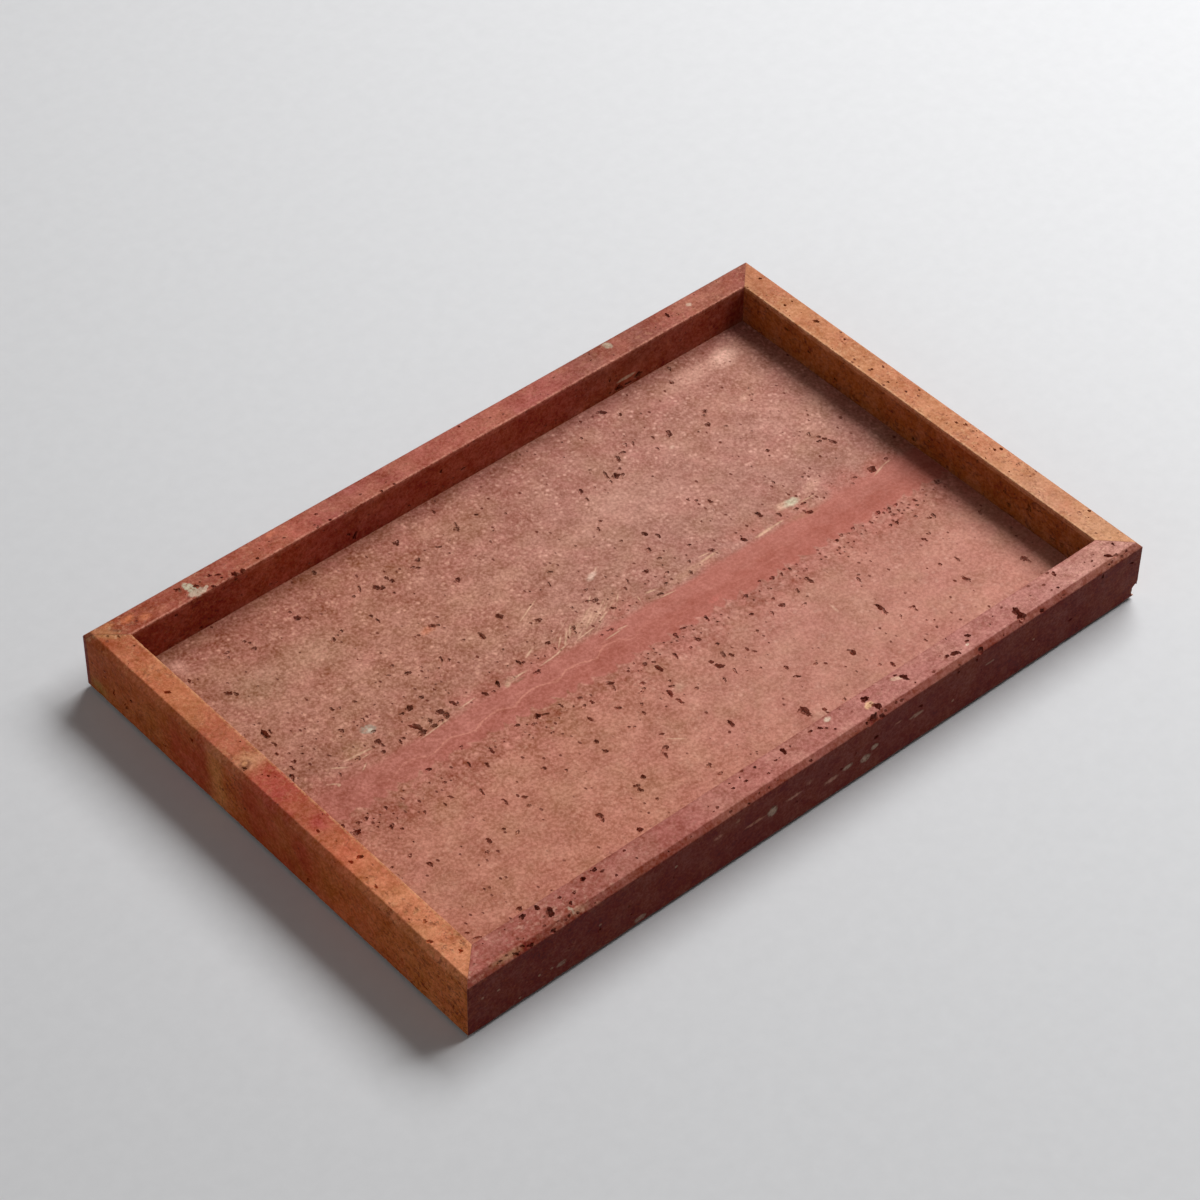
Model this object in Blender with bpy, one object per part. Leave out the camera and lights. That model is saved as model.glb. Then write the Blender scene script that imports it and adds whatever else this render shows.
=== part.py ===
"""Stone vanity tray: a floor slab held between four mitred rails, on four soft pads.

The origin is on the surface that the tray stands on, under its centre. +X runs along the
long side towards the right rail, +Y towards the back rail and +Z up. Sizes are in metres.
"""

import bmesh
import bpy
from mathutils import Matrix, Vector

# Tray
TRAY_LENGTH = 0.3000
TRAY_DEPTH = 0.2000
STONE_HEIGHT = 0.0245

# Rails
RAIL_WIDTH = 0.0117
TOP_BEVEL = 0.0020
LIP_EASE = 0.0003
FOOT_EASE = 0.0005

# The back left mitre meets the left outer face this far in front of the tray's corner,
# so that the back rail wraps round it. The other three mitres meet their corners.
BACK_LEFT_LANDING = 0.0020

# Floor slab
FLOOR_THICKNESS = 0.0085

# Joints: each glue film lies in the middle of its joint, with a touching gap to the stone
# on either side, and is wiped back a little from every face that shows.
GLUE_THICKNESS = 0.0004
GLUE_SETBACK = 0.0003
TOUCH_GAP = 0.0003

# Pads under the slab's corners
PAD_DIAMETER = 0.0120
PAD_THICKNESS = 0.0010
PAD_EASE = 0.0002
PAD_MARGIN = 0.0080
PAD_SIDES = 48

# An edge that turns by more than this many radians is a rim and not part of a round wall
RIM_TURN = 1.0

# Levels and widths that follow from the sizes above
STONE_BASE = PAD_THICKNESS + TOUCH_GAP
STONE_TOP = STONE_BASE + STONE_HEIGHT
FLOOR_TOP = STONE_BASE + FLOOR_THICKNESS
JOINT_WIDTH = GLUE_THICKNESS + 2 * TOUCH_GAP
HALF_LENGTH = TRAY_LENGTH / 2
HALF_DEPTH = TRAY_DEPTH / 2
INNER_HALF_LENGTH = HALF_LENGTH - RAIL_WIDTH
INNER_HALF_DEPTH = HALF_DEPTH - RAIL_WIDTH

UP = Vector((0, 0, 1))

# Each side's outward direction, its outer face's distance from the centre and half its length
SIDES = {
    "front": (Vector((0, -1, 0)), HALF_DEPTH, HALF_LENGTH),
    "right": (Vector((1, 0, 0)), HALF_LENGTH, HALF_DEPTH),
    "back": (Vector((0, 1, 0)), HALF_DEPTH, HALF_LENGTH),
    "left": (Vector((-1, 0, 0)), HALF_LENGTH, HALF_DEPTH),
}

# Each corner's side along X and along Y, and where its mitre lands on the short side's face
CORNERS = {
    "front_left": (-1, -1, 0),
    "front_right": (1, -1, 0),
    "back_left": (-1, 1, BACK_LEFT_LANDING),
    "back_right": (1, 1, 0),
}

# Base colour, roughness and metallic value of each material
FINISHES = {
    "floor_stone": ((0.44, 0.19, 0.13), 0.60, 0.0),
    "front_rail_stone": ((0.43, 0.14, 0.12), 0.55, 0.0),
    "back_rail_stone": ((0.38, 0.12, 0.08), 0.55, 0.0),
    "left_rail_stone": ((0.51, 0.16, 0.07), 0.55, 0.0),
    "right_rail_stone": ((0.62, 0.31, 0.16), 0.55, 0.0),
    "joint_resin": ((0.33, 0.17, 0.09), 0.45, 0.0),
    "pad_rubber": ((0.06, 0.055, 0.05), 0.80, 0.0),
}


def clear_scene():
    """Remove whatever objects the file holds."""
    for thing in list(bpy.data.objects):
        bpy.data.objects.remove(thing, do_unlink=True)


def make_material(name):
    """Make the named finish as a Principled material."""
    colour, roughness, metallic = FINISHES[name]
    material = bpy.data.materials.new(name)
    material.use_nodes = True
    shader = material.node_tree.nodes["Principled BSDF"]
    shader.inputs["Base Color"].default_value = (*colour, 1)
    shader.inputs["Roughness"].default_value = roughness
    shader.inputs["Metallic"].default_value = metallic
    material.diffuse_color = (*colour, 1)
    return material


def sawn_block(low, high, cuts):
    """Make a box between two corners and saw off what lies beyond each plane.

    Each cut is a point of the plane and its normal, which points at the waste.
    """
    size = high - low
    placed = Matrix.Translation((low + high) / 2) @ Matrix.Diagonal((*size, 1))
    block = bmesh.new()
    bmesh.ops.create_cube(block, size=1, matrix=placed)
    for point, waste in cuts:
        everything = block.verts[:] + block.edges[:] + block.faces[:]
        result = bmesh.ops.bisect_plane(
            block, geom=everything, plane_co=point, plane_no=waste, clear_outer=True
        )
        edges = [part for part in result["geom_cut"] if isinstance(part, bmesh.types.BMEdge)]
        if edges:
            bmesh.ops.edgeloop_fill(block, edges=edges)
    bmesh.ops.recalc_face_normals(block, faces=block.faces)
    return block


def place(name, block, seat, tray, material):
    """Turn a block made in the tray's frame into an object with its origin at its seat."""
    mesh = bpy.data.meshes.new(name)
    block.transform(Matrix.Translation(-seat))
    block.to_mesh(mesh)
    block.free()
    mesh.materials.append(material)
    thing = bpy.data.objects.new(name, mesh)
    thing.location = seat
    thing.parent = tray
    bpy.context.collection.objects.link(thing)


def outer_form(inset):
    """List the planes of the outer faces, top bevels and foot easings, moved in by an inset."""
    planes = []
    for outward, reach, _ in SIDES.values():
        face = outward * reach
        planes.append((face, outward))
        planes.append((face + UP * (STONE_TOP - TOP_BEVEL), (outward + UP).normalized()))
        planes.append((face + UP * (STONE_BASE + FOOT_EASE), (outward - UP).normalized()))
    return [(point - waste * inset, waste) for point, waste in planes]


def inner_corner(corner):
    """Find the point under a recess corner, where two rails' inner faces meet."""
    along_x, along_y, _ = CORNERS[corner]
    return Vector((along_x * INNER_HALF_LENGTH, along_y * INNER_HALF_DEPTH, 0))


def mitre_run(corner):
    """Find a mitre's direction, outwards from the recess corner to where it lands."""
    along_x, along_y, landing = CORNERS[corner]
    landed = Vector((along_x * HALF_LENGTH, along_y * (HALF_DEPTH - landing), 0))
    return (landed - inner_corner(corner)).normalized()


def mitre_side(corner):
    """Find the direction square to a mitre that points into the left or right rail."""
    along_x, along_y, _ = CORNERS[corner]
    run = mitre_run(corner)
    return Vector((along_x * abs(run.y), -along_y * abs(run.x), 0))


def mitre_cuts(side):
    """List the two planes that mitre a rail's ends, half a joint short of each mitre."""
    cuts = []
    for corner in CORNERS:
        if side not in corner.split("_"):
            continue
        waste = mitre_side(corner)
        if side in ("left", "right"):
            waste = -waste
        cuts.append((inner_corner(corner) - waste * (JOINT_WIDTH / 2), waste))
    return cuts


def bar_corners(side, outer, inner, half_run, bottom, top):
    """Find the lowest and highest corners of a straight bar that runs along one side.

    The bar lies between two distances from the centre and between two levels.
    """
    outward, _, _ = SIDES[side]
    along = Vector((abs(outward.y), abs(outward.x), 0)) * half_run
    low = Vector(map(min, outward * outer - along, outward * inner - along)) + UP * bottom
    high = Vector(map(max, outward * outer + along, outward * inner + along)) + UP * top
    return low, high


def make_rail(side, tray):
    """Saw one rail: its bevel, its foot and lip easings and its two mitred ends."""
    outward, reach, half_run = SIDES[side]
    inner = reach - RAIL_WIDTH
    bar = bar_corners(side, reach, inner, half_run, STONE_BASE, STONE_TOP)
    lip = outward * inner + UP * (STONE_TOP - LIP_EASE)
    cuts = outer_form(0) + mitre_cuts(side) + [(lip, (UP - outward).normalized())]
    seat = outward * (reach - RAIL_WIDTH / 2) + UP * STONE_BASE
    place(f"{side}_rail", sawn_block(*bar, cuts), seat, tray, make_material(f"{side}_rail_stone"))


def make_floor_slab(tray):
    """Make the slab that fills the frame up to a joint's width from the rails."""
    reach = Vector((INNER_HALF_LENGTH - JOINT_WIDTH, INNER_HALF_DEPTH - JOINT_WIDTH, 0))
    block = sawn_block(-reach + UP * STONE_BASE, reach + UP * FLOOR_TOP, [])
    place("floor_slab", block, UP * STONE_BASE, tray, make_material("floor_stone"))


def make_mitre_glue(corner, tray, resin):
    """Make the thin film of glue in one mitre, wiped back from the faces that show."""
    along_x, along_y, _ = CORNERS[corner]
    inside = inner_corner(corner)
    outside = Vector((along_x * HALF_LENGTH, along_y * HALF_DEPTH, 0))
    low = Vector(map(min, inside, outside)) + UP * (STONE_BASE + GLUE_SETBACK)
    high = Vector(map(max, inside, outside)) + UP * (STONE_TOP - GLUE_SETBACK)
    run = mitre_run(corner)
    cuts = [(inside + run * GLUE_SETBACK, -run)] + outer_form(GLUE_SETBACK)
    for waste in (mitre_side(corner), -mitre_side(corner)):
        cuts.append((inside + waste * (GLUE_THICKNESS / 2), waste))
    block = sawn_block(low, high, cuts)
    place(f"mitre_glue_{corner}", block, inside + UP * STONE_BASE, tray, resin)


def make_floor_glue(side, tray, resin):
    """Make the strip of glue between the slab's edge and one rail.

    The front and back strips run the whole recess, and the side strips end between them.
    """
    outward, reach, half_run = SIDES[side]
    outer = reach - RAIL_WIDTH - TOUCH_GAP
    inner = outer - GLUE_THICKNESS
    end_gap = TOUCH_GAP if side in ("front", "back") else JOINT_WIDTH
    strip_run = half_run - RAIL_WIDTH - end_gap
    bottom = STONE_BASE + GLUE_SETBACK
    strip = bar_corners(side, outer, inner, strip_run, bottom, FLOOR_TOP - GLUE_SETBACK)
    seat = outward * (outer + inner) / 2 + UP * STONE_BASE
    place(f"floor_glue_{side}", sawn_block(*strip, []), seat, tray, resin)


def make_pad_mesh(rubber):
    """Make the round pad that all four corners share, standing on its origin."""
    pad = bmesh.new()
    bmesh.ops.create_cone(
        pad,
        cap_ends=True,
        segments=PAD_SIDES,
        radius1=PAD_DIAMETER / 2,
        radius2=PAD_DIAMETER / 2,
        depth=PAD_THICKNESS,
        matrix=Matrix.Translation(UP * (PAD_THICKNESS / 2)),
    )
    rims = [edge for edge in pad.edges if edge.calc_face_angle() > RIM_TURN]
    bmesh.ops.bevel(pad, geom=rims, offset=PAD_EASE, segments=2, affect="EDGES", profile=0.5)
    mesh = bpy.data.meshes.new("pad")
    pad.to_mesh(mesh)
    pad.free()
    mesh.materials.append(rubber)
    mesh.shade_smooth()
    mesh.set_sharp_from_angle(angle=RIM_TURN)
    return mesh


def make_pads(tray):
    """Set a pad under each corner of the floor slab."""
    mesh = make_pad_mesh(make_material("pad_rubber"))
    inset = JOINT_WIDTH + PAD_MARGIN + PAD_DIAMETER / 2
    for corner, (along_x, along_y, _) in CORNERS.items():
        pad = bpy.data.objects.new(f"pad_{corner}", mesh)
        pad.location = (
            along_x * (INNER_HALF_LENGTH - inset),
            along_y * (INNER_HALF_DEPTH - inset),
            0,
        )
        pad.parent = tray
        bpy.context.collection.objects.link(pad)


def main():
    """Build the tray."""
    clear_scene()
    tray = bpy.data.objects.new("tray", None)
    bpy.context.collection.objects.link(tray)
    make_floor_slab(tray)
    for side in SIDES:
        make_rail(side, tray)
    resin = make_material("joint_resin")
    for corner in CORNERS:
        make_mitre_glue(corner, tray, resin)
    for side in SIDES:
        make_floor_glue(side, tray, resin)
    make_pads(tray)


main()
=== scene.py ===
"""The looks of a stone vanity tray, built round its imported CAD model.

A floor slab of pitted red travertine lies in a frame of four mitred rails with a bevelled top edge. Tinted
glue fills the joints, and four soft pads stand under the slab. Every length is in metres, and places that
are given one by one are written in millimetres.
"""
import logging
import math
import random
from dataclasses import dataclass, field
from enum import Enum
from functools import cached_property
from itertools import product
from typing import Iterator, Sequence

import bmesh
import bpy
from mathutils import Matrix, Vector, noise


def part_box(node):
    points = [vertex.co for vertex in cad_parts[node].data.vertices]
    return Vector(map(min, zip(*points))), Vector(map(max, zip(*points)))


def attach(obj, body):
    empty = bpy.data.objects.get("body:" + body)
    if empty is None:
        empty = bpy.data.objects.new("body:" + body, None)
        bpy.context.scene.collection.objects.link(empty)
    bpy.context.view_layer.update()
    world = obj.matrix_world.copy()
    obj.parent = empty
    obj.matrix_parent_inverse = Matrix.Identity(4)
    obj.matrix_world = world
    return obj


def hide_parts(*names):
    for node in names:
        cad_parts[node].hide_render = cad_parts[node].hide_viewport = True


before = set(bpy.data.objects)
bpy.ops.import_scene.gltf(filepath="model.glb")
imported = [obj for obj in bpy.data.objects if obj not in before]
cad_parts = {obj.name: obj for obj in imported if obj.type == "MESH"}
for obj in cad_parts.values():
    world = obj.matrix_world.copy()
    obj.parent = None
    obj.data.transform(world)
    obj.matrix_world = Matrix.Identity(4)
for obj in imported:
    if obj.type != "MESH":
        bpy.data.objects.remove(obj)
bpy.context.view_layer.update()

MM = 0.001
LINING = 1
DARKEST = (0.008, 0.006, 0.005)
X_AXIS, Y_AXIS, Z_AXIS = Vector((1, 0, 0)), Vector((0, 1, 0)), Vector((0, 0, 1))
ROUND = ((-1, -1), (1, -1), (1, 1), (-1, 1))

log = logging.getLogger("vanity tray")

Colour = tuple[float, float, float, float]
Tone = tuple[int, int, int]
Pair = tuple[float, float]
Loop = tuple[int, ...]
Numbers = Sequence[float]
Rows = Sequence[Numbers]
Object, Material, Socket = bpy.types.Object, bpy.types.Material, bpy.types.NodeSocket
Shape = bmesh.types.BMesh


def shade(red: int, green: int, blue: int) -> Colour:
    """Turns a colour as a screen shows it, from 0 to 255, into the linear colour of a shader."""
    shares = (red / 255, green / 255, blue / 255)
    return (*(c / 12.92 if c < 0.04 else ((c + 0.055) / 1.055) ** 2.4 for c in shares), 1.0)


class Side(Enum):
    """A side of the tray, named as someone sees it who stands at the front rail."""

    FRONT = "front"
    RIGHT = "right"
    BACK = "back"
    LEFT = "left"

    @property
    def along(self) -> Vector:
        """The way that the rail of this side runs."""
        return X_AXIS if self in (Side.FRONT, Side.BACK) else Y_AXIS

    @property
    def inward(self) -> Vector:
        """The way from this side's outer face towards the middle of the tray."""
        return {Side.FRONT: Y_AXIS, Side.BACK: -Y_AXIS, Side.LEFT: X_AXIS, Side.RIGHT: -X_AXIS}[self]


class Corner(Enum):
    """A corner of the tray, with the signs of its X and Y."""

    FRONT_LEFT = (-1, -1)
    FRONT_RIGHT = (1, -1)
    BACK_LEFT = (-1, 1)
    BACK_RIGHT = (1, 1)

    @property
    def label(self) -> str:
        """The corner's name as the CAD nodes spell it."""
        return self.name.lower()

    @property
    def way(self) -> Vector:
        """The corner's place, in shares of the tray's half sizes."""
        return Vector((*self.value, 0))


class Face(Enum):
    """A face of a rail."""

    TOP, BEVEL, OUTER, INNER, UNDER = range(5)


@dataclass(frozen=True)
class TrayPlan:
    """The tray's main sizes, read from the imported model."""

    half_length: float
    half_depth: float
    inner_half_length: float
    inner_half_depth: float
    base: float
    floor: float
    rim: float
    bevel: float = 2.0 * MM
    back_left_landing: float = 2.0 * MM

    @classmethod
    def from_frame(cls) -> "TrayPlan":
        """Reads the sizes off the boxes of the CAD nodes."""
        left_low, left_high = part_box("left_rail")
        front_low, front_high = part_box("front_rail")
        slab_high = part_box("floor_slab")[1]
        return cls(-left_low.x, -front_low.y, -left_high.x, -front_high.y, front_low.z, slab_high.z,
                   front_high.z)

    @property
    def rail_width(self) -> float:
        """The width of a rail, from its outer to its inner face."""
        return self.half_depth - self.inner_half_depth

    def half_run(self, side: Side) -> float:
        """Half the outer length of a side's rail."""
        return self.half_length if side.along == X_AXIS else self.half_depth

    def half_across(self, side: Side) -> float:
        """How far a side's outer face stands from the middle of the tray."""
        return self.half_depth if side.along == X_AXIS else self.half_length

    def outer_end(self, corner: Corner) -> Vector:
        """The point where a corner's mitre reaches the outside of the tray."""
        x, y = corner.value
        landing = self.back_left_landing if corner is Corner.BACK_LEFT else 0.0
        return Vector((x * self.half_length, y * (self.half_depth - landing), 0.0))

    def inner_end(self, corner: Corner) -> Vector:
        """The point where a corner's mitre reaches the recess."""
        x, y = corner.value
        return Vector((x * self.inner_half_length, y * self.inner_half_depth, 0.0))

    def seam_normal(self, corner: Corner) -> Vector:
        """The way square to a mitre, towards the front or back rail."""
        run = (self.outer_end(corner) - self.inner_end(corner)).normalized()
        normal = Vector((run.y, -run.x, 0.0))
        return normal if normal.y * corner.value[1] > 0 else -normal


def in_mm(length: float) -> float:
    """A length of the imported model, in millimetres."""
    return round(length / MM, 3)


PLAN = TrayPlan.from_frame()
FLOOR_TOP, RIM = in_mm(PLAN.floor), in_mm(PLAN.rim)
HALF_X, HALF_Y = in_mm(PLAN.half_length), in_mm(PLAN.half_depth)


class Bench:
    """Lays out the nodes of one material, with its textures in millimetres of the tray's own frame."""

    def __init__(self, name: str) -> None:
        """Starts a material.

        Args:
            name: The material's name.
        """
        self.material = bpy.data.materials.new(name)
        self.material.use_nodes = True
        self.tree = self.material.node_tree
        self.shader = self.tree.nodes["Principled BSDF"]
        self.bent: dict[float, Socket] = {}
        self.metres = self.add("TexCoord").outputs["Object"]
        self.place = self.vectors("MULTIPLY", self.metres, (1 / MM,) * 3)
        self.x, self.y, self.z = self.add("SeparateXYZ", self.place).outputs
        self.loose = self.vectors("SUBTRACT", self.noise(2.2, 4, 0.7, seed=61, colour=True), (0.5,) * 3)
        self.cloudy = self.noise(1.3, 4, 0.65, seed=67)

    def add(self, kind: str, *values: object, **options: object) -> bpy.types.Node:
        """Adds a node.

        Args:
            kind: Blender's name for it, without "ShaderNode".
            values: What its first sockets take.
            options: Its options.

        Returns:
            The node.
        """
        node = self.tree.nodes.new("ShaderNode" + kind)
        for name, value in options.items():
            setattr(node, name, value)
        self.fill(node.inputs, values)
        return node

    def put(self, socket: Socket, value: object) -> None:
        """Joins a socket to another one, or sets it to a plain value.

        Args:
            socket: The socket.
            value: The other socket, or the value.
        """
        if isinstance(value, Socket):
            self.tree.links.new(value, socket)
        else:
            socket.default_value = value

    def fill(self, sockets: Sequence[Socket], values: Sequence[object]) -> None:
        """Joins or sets each of several sockets."""
        for socket, value in zip(sockets, values):
            self.put(socket, value)

    def vectors(self, operation: str, *values: object) -> Socket:
        """Works out one sum of vectors, by Blender's name for it."""
        node = self.add("VectorMath", *values, operation=operation)
        return node.outputs["Value" if operation in ("LENGTH", "DOT_PRODUCT") else "Vector"]

    def math(self, operation: str, *values: object) -> Socket:
        """Works out one sum of numbers, by Blender's name for it."""
        return self.add("Math", *values, operation=operation).outputs[0]

    def times(self, value: object, *others: object) -> Socket:
        """Multiplies a number by others, one after another."""
        for other in others:
            value = self.math("MULTIPLY", value, other)
        return value

    def less(self, value: object, other: object) -> Socket:
        """Takes one number from another."""
        return self.math("SUBTRACT", value, other)

    def scaled(self, value: object, factor: object, offset: object) -> Socket:
        """Multiplies a number by a factor and adds an offset."""
        return self.math("MULTIPLY_ADD", value, factor, offset)

    def astray(self, reach: float) -> Socket:
        """The place, bent by up to about a reach, in millimetres."""
        if reach not in self.bent:
            self.bent[reach] = self.vectors("MULTIPLY_ADD", self.loose, (reach,) * 3, self.place)
        return self.bent[reach]

    def framed(self, place: Socket, size: Numbers, shift: Numbers, turn: float = 0.0) -> Socket:
        """Measures a place in units of a size, shifted by some of them and turned about Z by degrees."""
        origin, rotation = tuple(-a * b for a, b in zip(shift, size)), (0, 0, math.radians(turn))
        return self.add("Mapping", place, origin, rotation, tuple(size), vector_type="TEXTURE").outputs[0]

    def mottled(self, colour: object, share: object, pallor: float) -> Socket:
        """Lightens and darkens a colour.

        Args:
            colour: The colour.
            share: How light each spot is, about 1.
            pallor: How much grey the light spots gain and the dark ones lose.

        Returns:
            The colour.
        """
        dimmed = self.add("VectorMath", self.vectors("ADD", colour, (pallor,) * 3), operation="SCALE")
        self.put(dimmed.inputs["Scale"], share)
        lit = self.vectors("SUBTRACT", dimmed.outputs[0], (pallor,) * 3)
        return self.vectors("MAXIMUM", lit, DARKEST)

    def step(self, value: object, low: float, high: float, top: float = 1.0) -> Socket:
        """Rises smoothly from 0 at low to top at high, or falls if low is above high."""
        return self.add("MapRange", value, low, high, 0.0, top, interpolation_type="SMOOTHSTEP").outputs[0]

    def noise(self, size: float, detail: float = 3.0, rough: float = 0.55, stretch: Numbers = (1, 1, 1),
              seed: float = 0.0, bend: float = 0.0, colour: bool = False, turn: float = 0.0) -> Socket:
        """Makes cloudy noise.

        Args:
            size: The width of a cloud, in millimetres.
            detail: How many finer layers it has.
            rough: How strong the finer layers are.
            stretch: How much longer a cloud is on each axis.
            seed: A shift that makes one noise unlike another.
            bend: How far the clouds are bent by themselves.
            colour: Whether three noises come back as a colour.
            turn: The turn of its long way about Z, in degrees.

        Returns:
            The socket of the noise, which lies round a half.
        """
        unit = [size * s * MM for s in stretch]
        node = self.add("TexNoise", self.framed(self.metres, unit, (seed, 2.3 * seed, -1.7 * seed), turn))
        for name, value in (("Scale", 1.0), ("Detail", detail), ("Roughness", rough), ("Distortion", bend)):
            self.put(node.inputs[name], value)
        return node.outputs["Color" if colour else "Fac"]

    def cells(self, size: float, stretch: Numbers = (1, 1, 1), seed: float = 0, stray: float = 0) -> tuple:
        """Scatters a point in each cell of a grid.

        Args:
            size: The width of a cell, in millimetres.
            stretch: How much longer a cell is on each axis.
            seed: A shift that makes one scatter unlike another.
            stray: How ragged the distances are, in millimetres.

        Returns:
            The sockets of the distance to the nearest point, in cells, and of its two chances, from 0 to 1.
        """
        unit = [size * s for s in stretch]
        node = self.add("TexVoronoi", self.framed(self.astray(stray), unit, (seed, 1.9 * seed, -2.9 * seed)))
        self.put(node.inputs["Scale"], 1.0)
        split = self.add("SeparateColor", node.outputs["Color"])
        return node.outputs["Distance"], split.outputs[0], split.outputs[1]

    def mix(self, amount: object, under: object, over: object, blend: str = "MIX") -> Socket:
        """Lays one colour over another.

        Args:
            amount: How much of the upper colour shows.
            under: The lower colour, a socket or a tone.
            over: The upper one.
            blend: Blender's name for the way of laying it.

        Returns:
            The colour.
        """
        node = self.add("Mix", amount, data_type="RGBA", blend_type=blend)
        self.fill(node.inputs[6:8], [c if isinstance(c, Socket) else shade(*c) for c in (under, over)])
        return node.outputs[2]

    def ramp(self, value: object, stops: Sequence[tuple[float, Colour]]) -> Socket:
        """Turns a number from 0 to 1 into a colour between stops.

        Args:
            value: The number.
            stops: The places and colours.

        Returns:
            The colour.
        """
        node = self.add("ValToRGB", value)
        node.color_ramp.interpolation = "EASE"
        elements = node.color_ramp.elements
        while len(elements) < len(stops):
            elements.new(0.5)
        for element, (place, colour) in zip(elements, stops):
            element.position = place
            element.color = colour
        return node.outputs[0]

    def spot(self, place: Numbers, size: Numbers, turn: float, ragged: float, soft: float) -> Socket:
        """Marks one patch of the stone.

        Args:
            place: The patch's middle, in millimetres.
            size: Its lengths on its three axes, in millimetres.
            turn: Its turn about Z, in degrees.
            ragged: How far its edge strays, in millimetres.
            soft: The share of its reach in which it fades.

        Returns:
            The socket of the mark, 1 inside and 0 outside.
        """
        way = math.radians(turn)
        cos, sin = math.cos(way), math.sin(way)
        reaches = []
        for along, length in zip((Vector((cos, sin, 0)), Vector((-sin, cos, 0)), Z_AXIS), size):
            along = along * (2 / length)
            reach = self.vectors("DOT_PRODUCT", self.astray(round(4 * ragged, 1)), tuple(along))
            reaches.append(self.less(reach, along.dot(Vector(place))))
        reach = self.vectors("LENGTH", self.add("CombineXYZ", *reaches).outputs[0])
        return self.step(reach, 1.15, 1.15 - soft)

    def finish(self, colour: object, rough: object, gloss: float, relief: Socket | None = None) -> Material:
        """Finishes the shader.

        Args:
            colour: Its colour.
            rough: Its roughness.
            gloss: How strongly it reflects.
            relief: The height of its surface in millimetres, if it has a relief.

        Returns:
            The material.
        """
        for name, value in (("Base Color", colour), ("Roughness", rough), ("Specular IOR Level", gloss)):
            self.put(self.shader.inputs[name], value)
        if relief:
            bump = self.add("Bump")
            self.put(bump.inputs["Height"], relief)
            self.put(bump.inputs["Distance"], MM)
            self.put(self.shader.inputs["Normal"], bump.outputs[0])
        return self.material


@dataclass(frozen=True)
class Lens:
    """A small body of paler or darker mineral in the stone's surface, in millimetres and degrees."""

    place: Numbers
    size: Numbers
    tone: Tone
    turn: float = 0.0
    strength: float = 0.85
    soft: float = 0.4


@dataclass(frozen=True)
class Travertine:
    """Honed travertine: beds of colour along one axis, crumbs of cream and rust, and tiny pores.

    Beds are rows of a place along them and the tone there, and crumbs rows of a place and their share.
    """

    name: str
    beds: Rows
    along_x: bool
    crumbs: Rows
    face_beds: Rows = ()
    cream: Tone = (212, 166, 140)
    rust: Tone = (140, 84, 66)
    rose: Tone = (174, 102, 92)
    tan: Tone = (178, 132, 104)
    # The tone of the tiny pores that have no mesh: their brown skin and painted shade of the hole.
    pore: Tone = (106, 44, 28)
    cream_amount: float = 0.3
    rust_amount: float = 0.4
    worm_amount: float = 0.0
    worm_on_top: float = 0.5
    crystal_amount: float = 0.0
    tan_amount: float = 0.5
    rose_amount: float = 0.4
    mottle_size: float = 8.0
    mottling: float = 1.25
    grain: float = 0.26
    # The arris tone colours a line painted along the inner top arris: a highlight where it is paler than the
    # stone, a shade line where it is darker.
    painted_arris_tone: Tone | None = None
    pallor: float = 0.16
    pore_share: float = 0.15
    # The face tint paints shade on the bevel and upright faces, partly their own sawn colour; the inner tint
    # paints shade on an inner face that the key light falls on.
    face_tint_and_shade: Tone | None = None
    inner_face_shade: Tone | None = None
    bevel_share: float = 0.5
    lenses: tuple[Lens, ...] = ()
    seed: float = 0.0

    @property
    def material(self) -> Material:
        """The material."""
        return StoneBench(self).laid


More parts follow.
